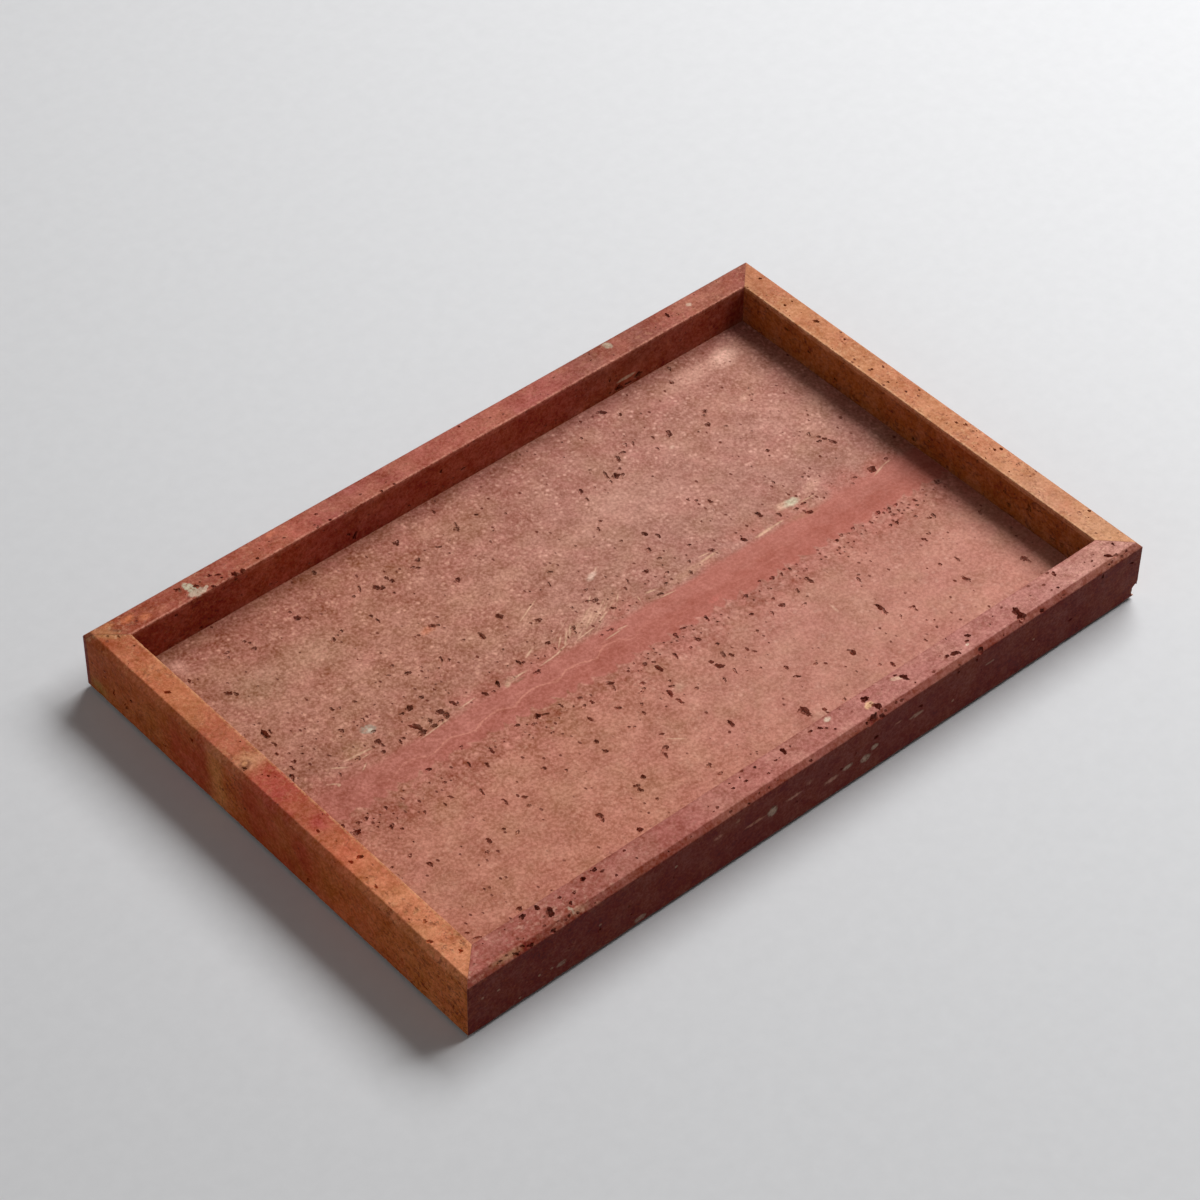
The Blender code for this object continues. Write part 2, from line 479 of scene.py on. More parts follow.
class StoneBench(Bench):
    """Lays out a travertine, one layer of colour over another."""

    def __init__(self, look: Travertine) -> None:
        """Starts the stone.

        Args:
            look: What it looks like.
        """
        super().__init__(look.name)
        self.look = look
        self.across = self.y if look.along_x else self.x
        self.inner_edge = in_mm(PLAN.inner_half_depth if look.along_x else PLAN.inner_half_length)
        self.colour = self.along_beds(look.beds)

    def lay(self, amount: object, over: object, blend: str = "MIX") -> None:
        """Lays a colour over the stone's own, by how much of it shows."""
        self.colour = self.mix(amount, self.colour, over, blend)

    def cloud(self, size: float, low: float, high: float, top: float = 1.0, **options: object) -> Socket:
        """Makes clouds of a size: noise that rises from 0 at low to top at high."""
        return self.step(self.noise(size, **options), low, high, top)

    @cached_property
    def bed_place(self) -> Socket:
        """The place along the beds, bent a little, in millimetres."""
        bend = self.less(self.noise(14, seed=self.look.seed + 3), 0.5)
        return self.scaled(bend, 14, self.x if self.look.along_x else self.y)

    def along_beds(self, stops: Rows) -> Socket:
        """Changes a colour or a share along the beds.

        Args:
            stops: Rows of a place in millimetres and the tone or the share there.

        Returns:
            The colour.
        """
        low, high = stops[0][0], stops[-1][0]
        share = self.math("DIVIDE", self.less(self.bed_place, low), high - low)
        return self.ramp(share, [((place - low) / (high - low), shade(*tone) if len(tone) == 3 else tone * 4)
                                 for place, *tone in stops])

    @property
    def side(self) -> Socket:
        """A share that rises from 0 on a rail's top, by way of its bevel, to 1 on its upright faces."""
        foot, share = RIM - in_mm(PLAN.bevel), self.look.bevel_share
        bevel = self.step(self.z, RIM - 0.05, RIM - 0.3, share)
        return self.math("ADD", bevel, self.step(self.z, foot, foot - 0.3, 1 - share))

    @property
    def lightness(self) -> Socket:
        """How light each spot is beside its neighbours, about 1."""
        look = self.look
        mottles = self.noise(look.mottle_size, 7, 0.82, seed=look.seed + 23)
        grain = self.less(self.cloud(1.15, 0.36, 0.66, rough=0.7, seed=look.seed + 3), 0.45)
        return self.scaled(grain, look.grain, self.scaled(mottles, look.mottling, 1 - look.mottling / 2))

    def add_patches(self) -> None:
        """Colours the upright faces and the broad patches."""
        look = self.look
        if look.face_beds:
            self.lay(self.side, self.along_beds(look.face_beds))
        self.lay(self.cloud(18, 0.4, 0.68, look.tan_amount, seed=look.seed + 7), look.tan)
        self.lay(self.cloud(13, 0.4, 0.68, look.rose_amount, seed=look.seed + 13), look.rose)

    def add_crumbs(self) -> None:
        """Lays crumbs of cream and rust, crystals and worm tracks over the beds."""
        look = self.look
        share = self.along_beds(look.crumbs).node.outputs["Alpha"]
        stretch = (1.35, 1, 1) if look.along_x else (1, 1.35, 1)
        zone = self.cloud(9, 0.36, 0.62, rough=0.6, seed=look.seed + 19)
        zone = self.times(self.scaled(zone, 0.7, 0.3), share)
        for size, seed, low, colour, amount in ((1.5, 17, 0.5, look.cream, look.cream_amount),
                                                (1.3, 29, 0.52, look.rust, look.rust_amount)):
            crumb = self.noise(size, 3, 0.72, stretch, look.seed + seed, 0.3)
            self.lay(self.times(self.step(crumb, low, low + 0.13, 2 * amount), zone), colour)
        if look.crystal_amount:
            distance, chance, _ = self.cells(2, seed=look.seed + 47, stray=1.1)
            chance = self.step(chance, 0.35, 0.7, look.crystal_amount)
            self.lay(self.times(self.step(distance, 0.5, 0.12), chance, zone), look.cream)
        if look.worm_amount:
            worm = self.noise(2.8, 4, 0.65, stretch, look.seed + 37, 1.6)
            worm = self.step(worm, 0.52, 0.66, look.worm_amount)
            where = self.scaled(self.side, 1 - look.worm_on_top, look.worm_on_top)
            self.lay(self.times(worm, share, where), look.rust)

    def add_features(self) -> None:
        """Paints shade on a rail's bevel and upright faces, partly their own sawn colour, and a thin
        highlight along its inner arris, which the front rail's darker tone turns into a shade line.
        """
        look = self.look
        if look.face_tint_and_shade:
            # Painted shade: the bevel and upright faces are multiplied by a tint below the top's colour,
            # partly their own sawn colour and partly shade.
            self.lay(self.side, look.face_tint_and_shade, "MULTIPLY")
            across = self.math("ABSOLUTE", self.across)
            # Painted shade cools and darkens the inner face where the key light falls full on it.
            if look.inner_face_shade:
                inner = self.step(across, self.inner_edge + 4, self.inner_edge + 1)
                self.lay(self.times(inner, self.side), look.inner_face_shade, "MULTIPLY")
            from_edge = self.math("ABSOLUTE", self.less(across, self.inner_edge))
            # Painted highlight along the inner top arris, where an eased edge catches light; a darker arris
            # tone paints a thin shade line there instead.
            painted_arris_line = self.times(self.step(from_edge, 1.1, 0.5, 0.6), self.step(self.z, RIM - 1.2, RIM - 0.4),
                                self.step(self.cloudy, 0.38, 0.58))
            self.lay(painted_arris_line, look.painted_arris_tone or look.cream)

    def add_lenses(self) -> None:
        """Lays the stone's lenses of other mineral over the rest."""
        for lens in self.look.lenses:
            inside = self.spot(lens.place, lens.size, lens.turn, min(0.9, 0.25 * min(lens.size)), lens.soft)
            self.lay(self.times(inside, self.step(self.cloudy, 0.28, 0.5, lens.strength)), lens.tone)

    @property
    def pore_chance(self) -> Socket:
        """How many of the cells hold a tiny pore, from 0 to 1."""
        share = self.look.pore_share
        return self.scaled(self.cloud(11, 0.38, 0.62, seed=self.look.seed + 41), share, 0.3 * share)

    @property
    def tiny_pores(self) -> Socket:
        """A mark on the pores that are too small to model, painted dark with their brown skin and the shade
        of the hole.
        """
        stretch = (1.4, 1, 1) if self.look.along_x else (1, 1.4, 1)
        distance, chance, size = self.cells(1.7, stretch, self.look.seed + 5, 1.3)
        here = self.step(self.less(chance, self.less(1, self.pore_chance)), 0, 0.04)
        pore = self.step(self.less(distance, self.scaled(size, 0.2, 0.08)), 0.1, -0.06)
        return self.times(pore, here, self.scaled(size, 0.55, 0.4))

    @property
    def laid(self) -> Material:
        """The material, with its layers laid in order."""
        self.add_patches()
        self.add_crumbs()
        self.add_features()
        self.add_lenses()
        colour = self.mottled(self.colour, self.lightness, self.look.pallor)
        pore = self.tiny_pores
        worn = self.noise(5, 4, 0.6, seed=self.look.seed + 29)
        rough = self.math("MAXIMUM", self.scaled(worn, 0.3, 0.5), self.times(pore, 0.95))
        grain = self.noise(1, 5, 0.7, seed=self.look.seed + 31)
        relief = self.scaled(worn, 0.05, self.scaled(grain, 0.09, self.times(pore, -0.25)))
        # The tiny pores get painted shade of the hole over their brown skin.
        return self.finish(self.mix(pore, colour, self.look.pore), rough, 0.2, relief)


@dataclass(frozen=True)
class VeinedTravertine(Travertine):
    """The floor slab's travertine, with a crimson vein along the tray and pale strokes beside it."""

    vein_dark: Tone = (171, 92, 76)
    vein_mid: Tone = (178, 101, 86)
    vein_light: Tone = (182, 107, 92)
    vein_line: Tone = (206, 132, 112)
    stroke: Tone = (216, 170, 140)
    back: float = -0.3
    front: float = -16.8
    left_rise: float = 3.6
    slope: float = -0.021
    arch: float = 17.5
    lobe: float = 6.8
    left_tint: Tone = (255, 247, 235)
    strokes: Rows = ()

    @property
    def material(self) -> Material:
        """The material."""
        return VeinBench(self).laid


class VeinBench(StoneBench):
    """Lays out the veined travertine."""

    look: VeinedTravertine

    @cached_property
    def level(self) -> Socket:
        """How far a place lies behind the vein's axis, bent as the beds are, in millimetres."""
        level = self.less(self.y, self.times(self.x, self.look.slope))
        sway = self.less(self.noise(13, 4, 0.6, (1.6, 1, 1), 41), 0.5)
        fine = self.less(self.noise(2.4, 4, 0.65, seed=43), 0.5)
        return self.scaled(fine, 1.8, self.scaled(sway, 3, level))

    def arcs(self, length: float, stray: float) -> Socket:
        """A row of arches of a length along the vein, 0 at their straying feet and 1 at their crowns."""
        sway = self.less(self.noise(16, 3, 0.6, seed=53 + length), 0.5)
        return self.math("ABSOLUTE", self.math("SINE", self.times(self.scaled(sway, stray, self.x),
                                                                  math.pi / length)))

    @property
    def front_edge(self) -> Socket:
        """The level of the vein's lobed front edge."""
        rise = self.step(self.x, -15, -75, self.look.left_rise)
        return self.math("ADD", self.scaled(self.arcs(self.look.lobe, 22), -3, self.look.front + 1.8), rise)

    @cached_property
    def above(self) -> Socket:
        """How far a place lies behind the vein's front edge, in millimetres."""
        return self.less(self.level, self.front_edge)

    @cached_property
    def inside(self) -> Socket:
        """A mark on the vein, fainter at its left end."""
        behind = self.step(self.level, self.look.back + 1.6, self.look.back - 1.3)
        strength = self.scaled(self.step(self.x, -70, -120), -0.3, 0.94)
        return self.times(self.step(self.above, -0.5, 0.7), behind, strength)

    @cached_property
    def before(self) -> Socket:
        """A mark on the crumbly band in front of the vein."""
        return self.times(self.step(self.above, 1, -1), self.step(self.above, -14, -6))

    @property
    def lightness(self) -> Socket:
        """How light each spot is beside its neighbours: more even in the vein, knobbly before it."""
        calm = self.scaled(self.inside, -0.45, 1.15)
        calm = self.less(calm, self.step(self.x, -60, 60, 0.27))
        calm = self.less(calm, self.step(self.y, -16, -45, 0.2))
        share = self.scaled(self.less(super().lightness, 1), calm, 1)
        knobs = self.less(self.step(self.cells(2.8, seed=83, stray=1.8)[0], 0.6, 0.15), 0.5)
        return self.scaled(knobs, self.times(self.before, 0.2), share)

    @property
    def vein(self) -> Socket:
        """The vein's colour: a lighter back, a redder front and thin pale lines along a row of arches."""
        look = self.look
        under_arch = self.less(self.level, self.scaled(self.arcs(look.arch, 14), 2.6, -9.2))
        colour = self.mix(self.step(under_arch, -2.2, 1.4), look.vein_dark, look.vein_light)
        cloud = self.cloud(9, 0.4, 0.62, 0.75, detail=4, rough=0.6, stretch=(1.8, 1, 1), seed=45)
        for amount in (self.step(self.above, 3, 0.2, 0.7), cloud):
            colour = self.mix(amount, colour, look.vein_mid)
        crest = self.step(self.math("ABSOLUTE", under_arch), 0.6, 0.1, 0.8)
        crest = self.times(crest, self.step(self.x, 20, -25))
        waves = self.step(self.math("SINE", self.times(self.level, 2.2)), 0.5, 1, 0.2)
        waves = self.times(waves, self.cloud(8, 0.42, 0.58, rough=0.6, seed=49))
        return self.mix(self.math("MAXIMUM", crest, waves), colour, look.vein_line)

    def add_features(self) -> None:
        """Adds the vein, the haze behind it, the band in front of it and the strokes along its back edge."""
        look, level, above = self.look, self.level, self.above
        self.lay(self.step(self.x, 50, -70), look.left_tint, "MULTIPLY")
        self.lay(self.times(self.before, self.cloud(6, 0.4, 0.6, 0.4, rough=0.6, seed=87)), look.vein_mid)
        self.lay(self.inside, self.vein)
        haze = self.times(self.step(level, 14, 0, 0.6), self.step(level, -2, 0.5),
                          self.cloud(14, 0.42, 0.6, detail=4, rough=0.6, seed=51))
        left = self.times(self.step(self.x, -70, -120), self.step(level, 7, 1, 0.5))
        haze = self.times(self.math("MAXIMUM", haze, left), self.step(above, -1, 1))
        self.lay(haze, look.vein_mid)
        brushed = self.step(self.noise(0.75, 2, 0.5, (10, 1, 1), 91, turn=30), 0.53, 0.68, 0.7)
        self.lay(self.times(brushed, self.spot((-8, 7, FLOOR_TOP), (38, 14, 4), 8, 0.7, 1)), look.stroke)
        for x, y, length, width, turn in look.strokes:
            mark = self.spot((x, y, FLOOR_TOP), (length, 1.4 * width, 3), turn, 0.12, 0.8)
            self.lay(self.times(mark, self.step(self.cloudy, 0.24, 0.5, 0.85)), look.stroke)

    @property
    def pore_chance(self) -> Socket:
        """How many of the cells hold a tiny pore: more of them before the vein and behind it."""
        level, front = self.level, self.look.front
        before = self.times(self.step(level, front + 1, front - 1), self.step(level, front - 11, front - 3))
        behind = self.times(self.step(level, 0, 2), self.step(level, 34, 8))
        behind = self.times(behind, self.cloud(9, 0.4, 0.6, seed=71))
        clear = self.times(self.step(level, front - 1, front + 2), self.step(level, 1, -1, 0.9))
        share = self.scaled(before, 0.34, self.scaled(behind, 0.25, super().pore_chance))
        return self.times(share, self.less(1, clear))


@dataclass(frozen=True)
class PitLining:
    """The rough brown skin inside an open pore, darker than the stone partly as its own brown and partly as
    painted shade of the hollow.
    """

    name: str = "pit lining"
    # Both tones are darker than the stone: the skin's own brown and painted shade of the hollow.
    dark: Tone = (140, 36, 14)
    light: Tone = (182, 58, 30)

    @property
    def material(self) -> Material:
        """The material."""
        bench = Bench(self.name)
        grain = bench.noise(0.5, 4, 0.65)
        colour = bench.mix(bench.step(grain, 0.4, 0.7), self.dark, self.light)
        return bench.finish(colour, bench.scaled(grain, 0.2, 0.8), 0.0, bench.times(grain, 0.15))


@dataclass(frozen=True)
class JointResin:
    """Stone glue tinted to the travertine, cured and wiped."""

    name: str = "tinted stone glue"
    body: Tone = (158, 92, 68)
    dust: Tone = (186, 122, 94)
    relief: float = 0.05
    speck: Tone = (112, 64, 44)

    @property
    def material(self) -> Material:
        """The material."""
        bench = Bench(self.name)
        cloud = bench.noise(0.9, 5, 0.65, seed=3)
        fleck = bench.noise(0.4, 2, 0.5, seed=9)
        colour = bench.mix(bench.step(cloud, 0.42, 0.66), self.body, self.dust)
        colour = bench.mix(bench.step(fleck, 0.58, 0.68, 0.5), colour, self.speck)
        relief = bench.times(bench.math("ADD", cloud, fleck), self.relief)
        return bench.finish(colour, bench.scaled(cloud, 0.3, 0.45), 0.25, relief)


@dataclass(frozen=True)
class PadRubber:
    """Matt black soft rubber with a fine moulded grain."""

    name: str = "pad rubber"
    body: Tone = (70, 67, 64)
    worn: Tone = (96, 92, 88)

    @property
    def material(self) -> Material:
        """The material."""
        bench = Bench(self.name)
        grain = bench.noise(0.25, 3, 0.6)
        dust = bench.noise(2.5, 4, 0.6, seed=5)
        colour = bench.mix(bench.step(dust, 0.5, 0.75, 0.7), self.body, self.worn)
        return bench.finish(colour, bench.scaled(dust, 0.2, 0.68), 0.3, bench.times(grain, 0.04))


@dataclass(frozen=True)
class Pit:
    """An open pore: its place on a face and its opening, in millimetres, and its turn from the long way."""

    along: float
    across: float
    length: float
    width: float
    turn: float = 0.0


def pits(*rows: Numbers) -> tuple[Pit, ...]:
    """Makes pits of rows of along, across, length, width and, where it isn't 0, turn."""
    return tuple(Pit(*row) for row in rows)


@dataclass(frozen=True)
class Scatter:
    """Small pores strewn over part of a face, in millimetres."""

    along: Pair
    across: Pair
    count: int
    longest: float
    slope: float = 0.0


@dataclass
class FaceFrame:
    """Where a face lies: the point at its zero, and its ways along, across and out of the stone."""

    origin: Vector
    along: Vector
    across: Vector
    outward: Vector

    def point(self, along: float, across: float) -> Vector:
        """The point of the face at a place in millimetres."""
        return self.origin + self.along * (along * MM) + self.across * (across * MM)


@dataclass
class Hollow:
    """A closed lump that is cut out of a stone, with its middle and its half sizes on its own three ways."""

    middle: Vector
    ways: Matrix
    half_sizes: Vector
    seed: float
    fine: bool

    @property
    def reach(self) -> float:
        """The radius of a ball that holds the lump."""
        return 1.45 * max(self.half_sizes)

    def meets(self, other: "Hollow") -> bool:
        """Whether this lump may touch another."""
        return (self.middle - other.middle).length < self.reach + other.reach


@dataclass
class PitField:
    """The open pores of one stone, gathered as lumps and then cut out of its mesh."""

    seed: int
    widening: float = 0.05
    raggedness: float = 0.46
    hollows: list[Hollow] = field(default_factory=list)

    def __post_init__(self) -> None:
        """Starts the field's own run of chance."""
        self.chance = random.Random(self.seed)

    def open_pit(self, face: FaceFrame, pit: Pit, depth: float | None = None) -> None:
        """Adds the lump of one pit.

        Args:
            face: The face that the pit opens in.
            pit: The pit.
            depth: Its depth in millimetres, or None for one that follows its width.
        """
        turned = Matrix.Rotation(math.radians(pit.turn), 3, face.outward)
        long_way = (turned @ face.along).normalized()
        wide_way = face.outward.cross(long_way)
        deep = (max(0.3, 0.8 * pit.width - 0.2) + 0.05 * pit.length if depth is None else depth) * MM
        length, width = pit.length + self.widening, 1.1 * pit.width + self.widening
        half = Vector((length * MM / 2, width * MM / 2, deep))
        middle = face.point(pit.along, pit.across) - face.outward * (0.12 * deep)
        ways = Matrix((long_way, wide_way, face.outward)).transposed()
        self.hollows.append(Hollow(middle, ways, half, self.chance.uniform(0, 100), pit.length > 1.8))

    def open_cluster(self, face: FaceFrame, pit: Pit, depth: float | None = None) -> None:
        """Adds a ragged pit: its own lump, and smaller lumps that run into it or lie beside it.

        Args:
            face: The face that the pit opens in.
            pit: The pit.
            depth: Its depth, as for one pit.
        """
        chance, way = self.chance, math.radians(pit.turn)
        self.open_pit(face, pit, depth)
        for _ in range(chance.choice((0, 1, 1, 2))):
            reach = chance.choice((-1, 1)) * chance.uniform(0.3, 0.5) * pit.length
            stray = chance.choice((-1, 1)) * chance.uniform(0.1, 0.5) * pit.width
            along = pit.along + reach * math.cos(way) - stray * math.sin(way)
            across = pit.across + reach * math.sin(way) + stray * math.cos(way)
            width = max(0.45, pit.width * chance.uniform(0.4, 0.75))
            length = width * chance.uniform(1, 1.6)
            self.open_pit(face, Pit(along, across, length, width, pit.turn + chance.uniform(-60, 60)), depth)

    def strew(self, face: FaceFrame, scatter: Scatter) -> None:
        """Adds small pits by chance, clear of the ones that are there.

        Args:
            face: The face that they open in.
            scatter: How many, and where.
        """
        made = tries = 0
        while made < scatter.count and tries < 20 * scatter.count:
            tries += 1
            along = self.chance.uniform(*scatter.along)
            across = self.chance.uniform(*scatter.across) + scatter.slope * along
            length = 0.5 + (scatter.longest - 0.5) * self.chance.random() ** 2.4
            width = max(0.35, length * self.chance.uniform(0.35, 0.8))
            self.open_pit(face, Pit(along, across, length, width, self.chance.gauss(15, 40)))
            newest = self.hollows[-1]
            if any(newest.meets(other) for other in self.hollows[:-1]):
                self.hollows.pop()
            else:
                made += 1

    @property
    def groups(self) -> list[list[Hollow]]:
        """The lumps in groups in which none touches another."""
        groups: list[list[Hollow]] = []
        for hollow in self.hollows:
            for group in groups:
                if not any(hollow.meets(other) for other in group):
                    group.append(hollow)
                    break
            else:
                groups.append([hollow])
        return groups

    def lump(self, hollow: Hollow, ball: Sequence[Vector]) -> list[Vector]:
        """Shapes the points of a unit ball into a ragged lump.

        Args:
            hollow: The lump.
            ball: The ball's points.

        Returns:
            The lump's points.
        """
        points = []
        for way in ball:
            ragged = noise.noise(way * 1.5 + Vector((hollow.seed, 0, 0)))
            ragged += 0.45 * noise.noise(way * 3.7 + Vector((0, hollow.seed, 0)))
            stretched = Vector(w * h for w, h in zip(way, hollow.half_sizes))
            points.append(hollow.middle + hollow.ways @ (stretched * (1 + self.raggedness * ragged)))
        return points

    def cut_from(self, stone: Object) -> None:
        """Cuts every lump out of a stone, and gives the cut faces the pit lining.

        Args:
            stone: The stone.
        """
        balls = {fine: unit_ball(3 if fine else 2) for fine in (False, True)}
        for group in self.groups:
            points: list[Vector] = []
            faces: list[Loop] = []
            for hollow in group:
                ball, triangles = balls[hollow.fine]
                first = len(points)
                points += self.lump(hollow, ball)
                faces += [tuple(first + i for i in triangle) for triangle in triangles]
            cutter = new_object("cutter", points, faces)
            for polygon in cutter.data.polygons:
                polygon.material_index = LINING
            cut = stone.modifiers.new("pits", "BOOLEAN")
            cut.operation, cut.solver, cut.object = "DIFFERENCE", "MANIFOLD", cutter
            apply_modifiers(stone)
            bpy.data.objects.remove(cutter)


def unit_ball(fineness: int) -> tuple[list[Vector], list[Loop]]:
    """Makes a ball of triangles.

    Args:
        fineness: How often its faces are parted, plus one.

    Returns:
        Its points and its faces.
    """
    shape = bmesh.new()
    bmesh.ops.create_icosphere(shape, subdivisions=fineness, radius=1)
    points = [v.co.copy() for v in shape.verts]
    faces = [tuple(v.index for v in f.verts) for f in shape.faces]
    shape.free()
    return points, faces


def link(name: str, data: bpy.types.ID) -> Object:
    """Puts a mesh, a lamp or a camera into the scene."""
    made = bpy.data.objects.new(name, data)
    bpy.context.scene.collection.objects.link(made)
    return made


def new_object(name: str, points: Sequence[Vector], faces: Sequence[Loop]) -> Object:
    """Makes a mesh object.

    Args:
        name: Its name.
        points: Its points.
        faces: Its faces, by the points' numbers.

    Returns:
        The object, with a slot for its own material and one for the pit lining.
    """
    mesh = bpy.data.meshes.new(name)
    mesh.from_pydata([tuple(p) for p in points], [], faces)
    mesh.materials.append(None)
    mesh.materials.append(None)
    return link(name, mesh)


def fill_mesh(mesh: bpy.types.Mesh, shape: Shape) -> None:
    """Fills a mesh with a closed shape, its faces turned outward."""
    bmesh.ops.recalc_face_normals(shape, faces=shape.faces)
    shape.to_mesh(mesh)
    shape.free()


def shaped(name: str, shape: Shape) -> Object:
    """Makes a mesh object of a closed shape."""
    made = new_object(name, (), ())
    fill_mesh(made.data, shape)
    return made


def face_outward(piece: Object) -> None:
    """Turns every face of a closed piece outward."""
    shape = bmesh.new()
    shape.from_mesh(piece.data)
    fill_mesh(piece.data, shape)


def in_turn(row: Sequence) -> Iterator[tuple]:
    """Pairs each item of a closed row with the next."""
    return zip(row, [*row[1:], row[0]])


def round_between(lower: Sequence, upper: Sequence) -> Iterator[tuple]:
    """Walks round between two closed rows of corners: two of the lower row at a time, and the two above."""
    return ((*below, *above) for below, above in zip(in_turn(lower), in_turn(upper)))


def apply_modifiers(piece: Object) -> None:
    """Turns a piece's modifiers into plain mesh.

    Args:
        piece: The piece.
    """
    graph = bpy.context.evaluated_depsgraph_get()
    graph.update()
    final = bpy.data.meshes.new_from_object(piece.evaluated_get(graph))
    piece.modifiers.clear()
    worn_out, piece.data = piece.data, final
    bpy.data.meshes.remove(worn_out)


def smooth_by_angle(piece: Object, degrees: float) -> None:
    """Shades a piece smooth but for edges sharper than an angle."""
    piece.data.polygons.foreach_set("use_smooth", [True] * len(piece.data.polygons))
    piece.data.set_sharp_from_angle(angle=math.radians(degrees))


def keep_flats_flat(piece: Object) -> None:
    """Shades a piece's wide faces flat, and only the narrow ones between them round."""
    weigh = piece.modifiers.new("flats", "WEIGHTED_NORMAL")
    weigh.weight, weigh.keep_sharp = 100, True
    apply_modifiers(piece)


def hand_over(piece: Object, node: str, *materials: Material) -> None:
    """Gives a piece its finish and its place in the frame.

    Args:
        piece: The piece.
        node: The CAD node that it stands for.
        materials: The materials of its slots.
    """
    piece.data.materials.clear()
    for material in materials:
        piece.data.materials.append(material)
    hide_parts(node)
    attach(piece, "root")
    log.info("%s: %d faces, for %s", piece.name, len(piece.data.polygons), node)


@dataclass
class RailFrame:
    """The ring of four rails, honed as one, which the mitres then part."""

    station_step: float = 1 * MM
    face_step: float = 3.2 * MM
    corner_ease: float = 0.35 * MM
    seam: float = 0.14 * MM
    back_left_seam: float = 0.2 * MM
    corner_chips: tuple[tuple[Corner, float, float], ...] = ((Corner.FRONT_RIGHT, 3.4, 5.4),)

    @property
    def section(self) -> Rows:
        """The arrises of the rails' section from outer to inner foot: inset, height and easing."""
        width, base, rim, bevel = PLAN.rail_width, PLAN.base, PLAN.rim, PLAN.bevel
        return ((0, base, 0.5 * MM), (0, rim - bevel, 0.35 * MM), (bevel, rim, 0.3 * MM),
                (width, rim, 0.35 * MM), (width, base, 0.3 * MM))

    def wear(self, number: int, spot: Vector) -> float:
        """How much an arris is eased at a spot, as a share, which varies as the stone crumbled."""
        kinds = ((6, X_AXIS, 9.1), (1.3, Y_AXIS, 5.3), (2.6, Z_AXIS, 7.7))
        soft, crumb, chips = (noise.noise(spot * (1 / (width * MM)) + axis * (number * shift))
                              for width, axis, shift in kinds)
        return 1 + 0.35 * soft + 0.3 * crumb + 3 * max(0, chips - 0.32)

    def outline(self, spot: Vector) -> list[Vector]:
        """Traces the section at one spot of the ring.

        Args:
            spot: The spot, on the ring's outer edge.

        Returns:
            The points, each with its inset and its height.
        """
        arrises = [Vector(place) for *place, _ in self.section]
        curves = []
        for number, (*_, ease) in enumerate(self.section):
            here, before, after = (arrises[(number + k) % len(arrises)] for k in (0, -1, 1))
            ease *= self.wear(number, spot)
            start = here + (before - here).normalized() * ease
            end = here + (after - here).normalized() * ease
            curves.append([start * (1 - t) ** 2 + here * (2 * t * (1 - t)) + end * t ** 2
                           for t in (0, 1 / 3, 2 / 3, 1)])
        points = []
        for (curve, following), (here, after) in zip(in_turn(curves), in_turn(arrises)):
            parts = max(1, round((here - after).length / self.face_step))
            points += curve + [curve[-1].lerp(following[0], k / parts) for k in range(1, parts)]
        return points

    @property
    def stations(self) -> list[tuple[Vector, Vector]]:
        """Each station round the ring: its share of the half sizes, and its way out of a corner's arc."""
        walk = []
        for start, end in in_turn([Vector(corner) for corner in ROUND]):
            along = (end - start) / 2
            out = Vector((along.y, -along.x))
            run = 2 * (PLAN.half_length if along.x else PLAN.half_depth)
            count = round(run / self.station_step)
            walk += [(start.lerp(end, k / count), out) for k in range(count + 1)]
            for angle in (math.radians(30), math.radians(60)):
                walk.append((end, out * math.cos(angle) + along * math.sin(angle)))
        return walk

    @property
    def ring(self) -> Shape:
        """The shape of the whole ring."""
        shape = bmesh.new()
        rows = []
        ease = self.corner_ease
        for share, out in self.stations:
            row = []
            spot = Vector((share.x * PLAN.half_length, share.y * PLAN.half_depth, 0))
            for inset, height in self.outline(spot):
                x = share.x * (PLAN.half_length - inset - ease) + out.x * ease
                y = share.y * (PLAN.half_depth - inset - ease) + out.y * ease
                row.append(shape.verts.new((x, y, height)))
            rows.append(row)
        for row, following in in_turn(rows):
            for a, b, c, d in round_between(row, following):
                shape.faces.new((a, c, d, b))
        bmesh.ops.recalc_face_normals(shape, faces=shape.faces)
        return shape

    def seam_width(self, corner: Corner) -> float:
        """The width of the glue line at a corner."""
        return self.back_left_seam if corner is Corner.BACK_LEFT else self.seam

    def sawn(self, side: Side) -> Shape:
        """Parts one side's rail from the ring along its two mitres.

        Args:
            side: The side.

        Returns:
            The rail's shape.
        """
        shape = self.ring
        for corner in Corner:
            if side.inward.dot(corner.way) > 0:
                continue
            normal = PLAN.seam_normal(corner) * (1 if side.along == X_AXIS else -1)
            point = PLAN.inner_end(corner) + normal * (self.seam_width(corner) / 2)
            cut = bmesh.ops.bisect_plane(shape, geom=[*shape.verts, *shape.edges, *shape.faces],
                                         plane_co=point, plane_no=normal, clear_inner=True)
            edges = [e for e in cut["geom_cut"] if isinstance(e, bmesh.types.BMEdge)]
            bmesh.ops.edgeloop_fill(shape, edges=edges)
        return shape


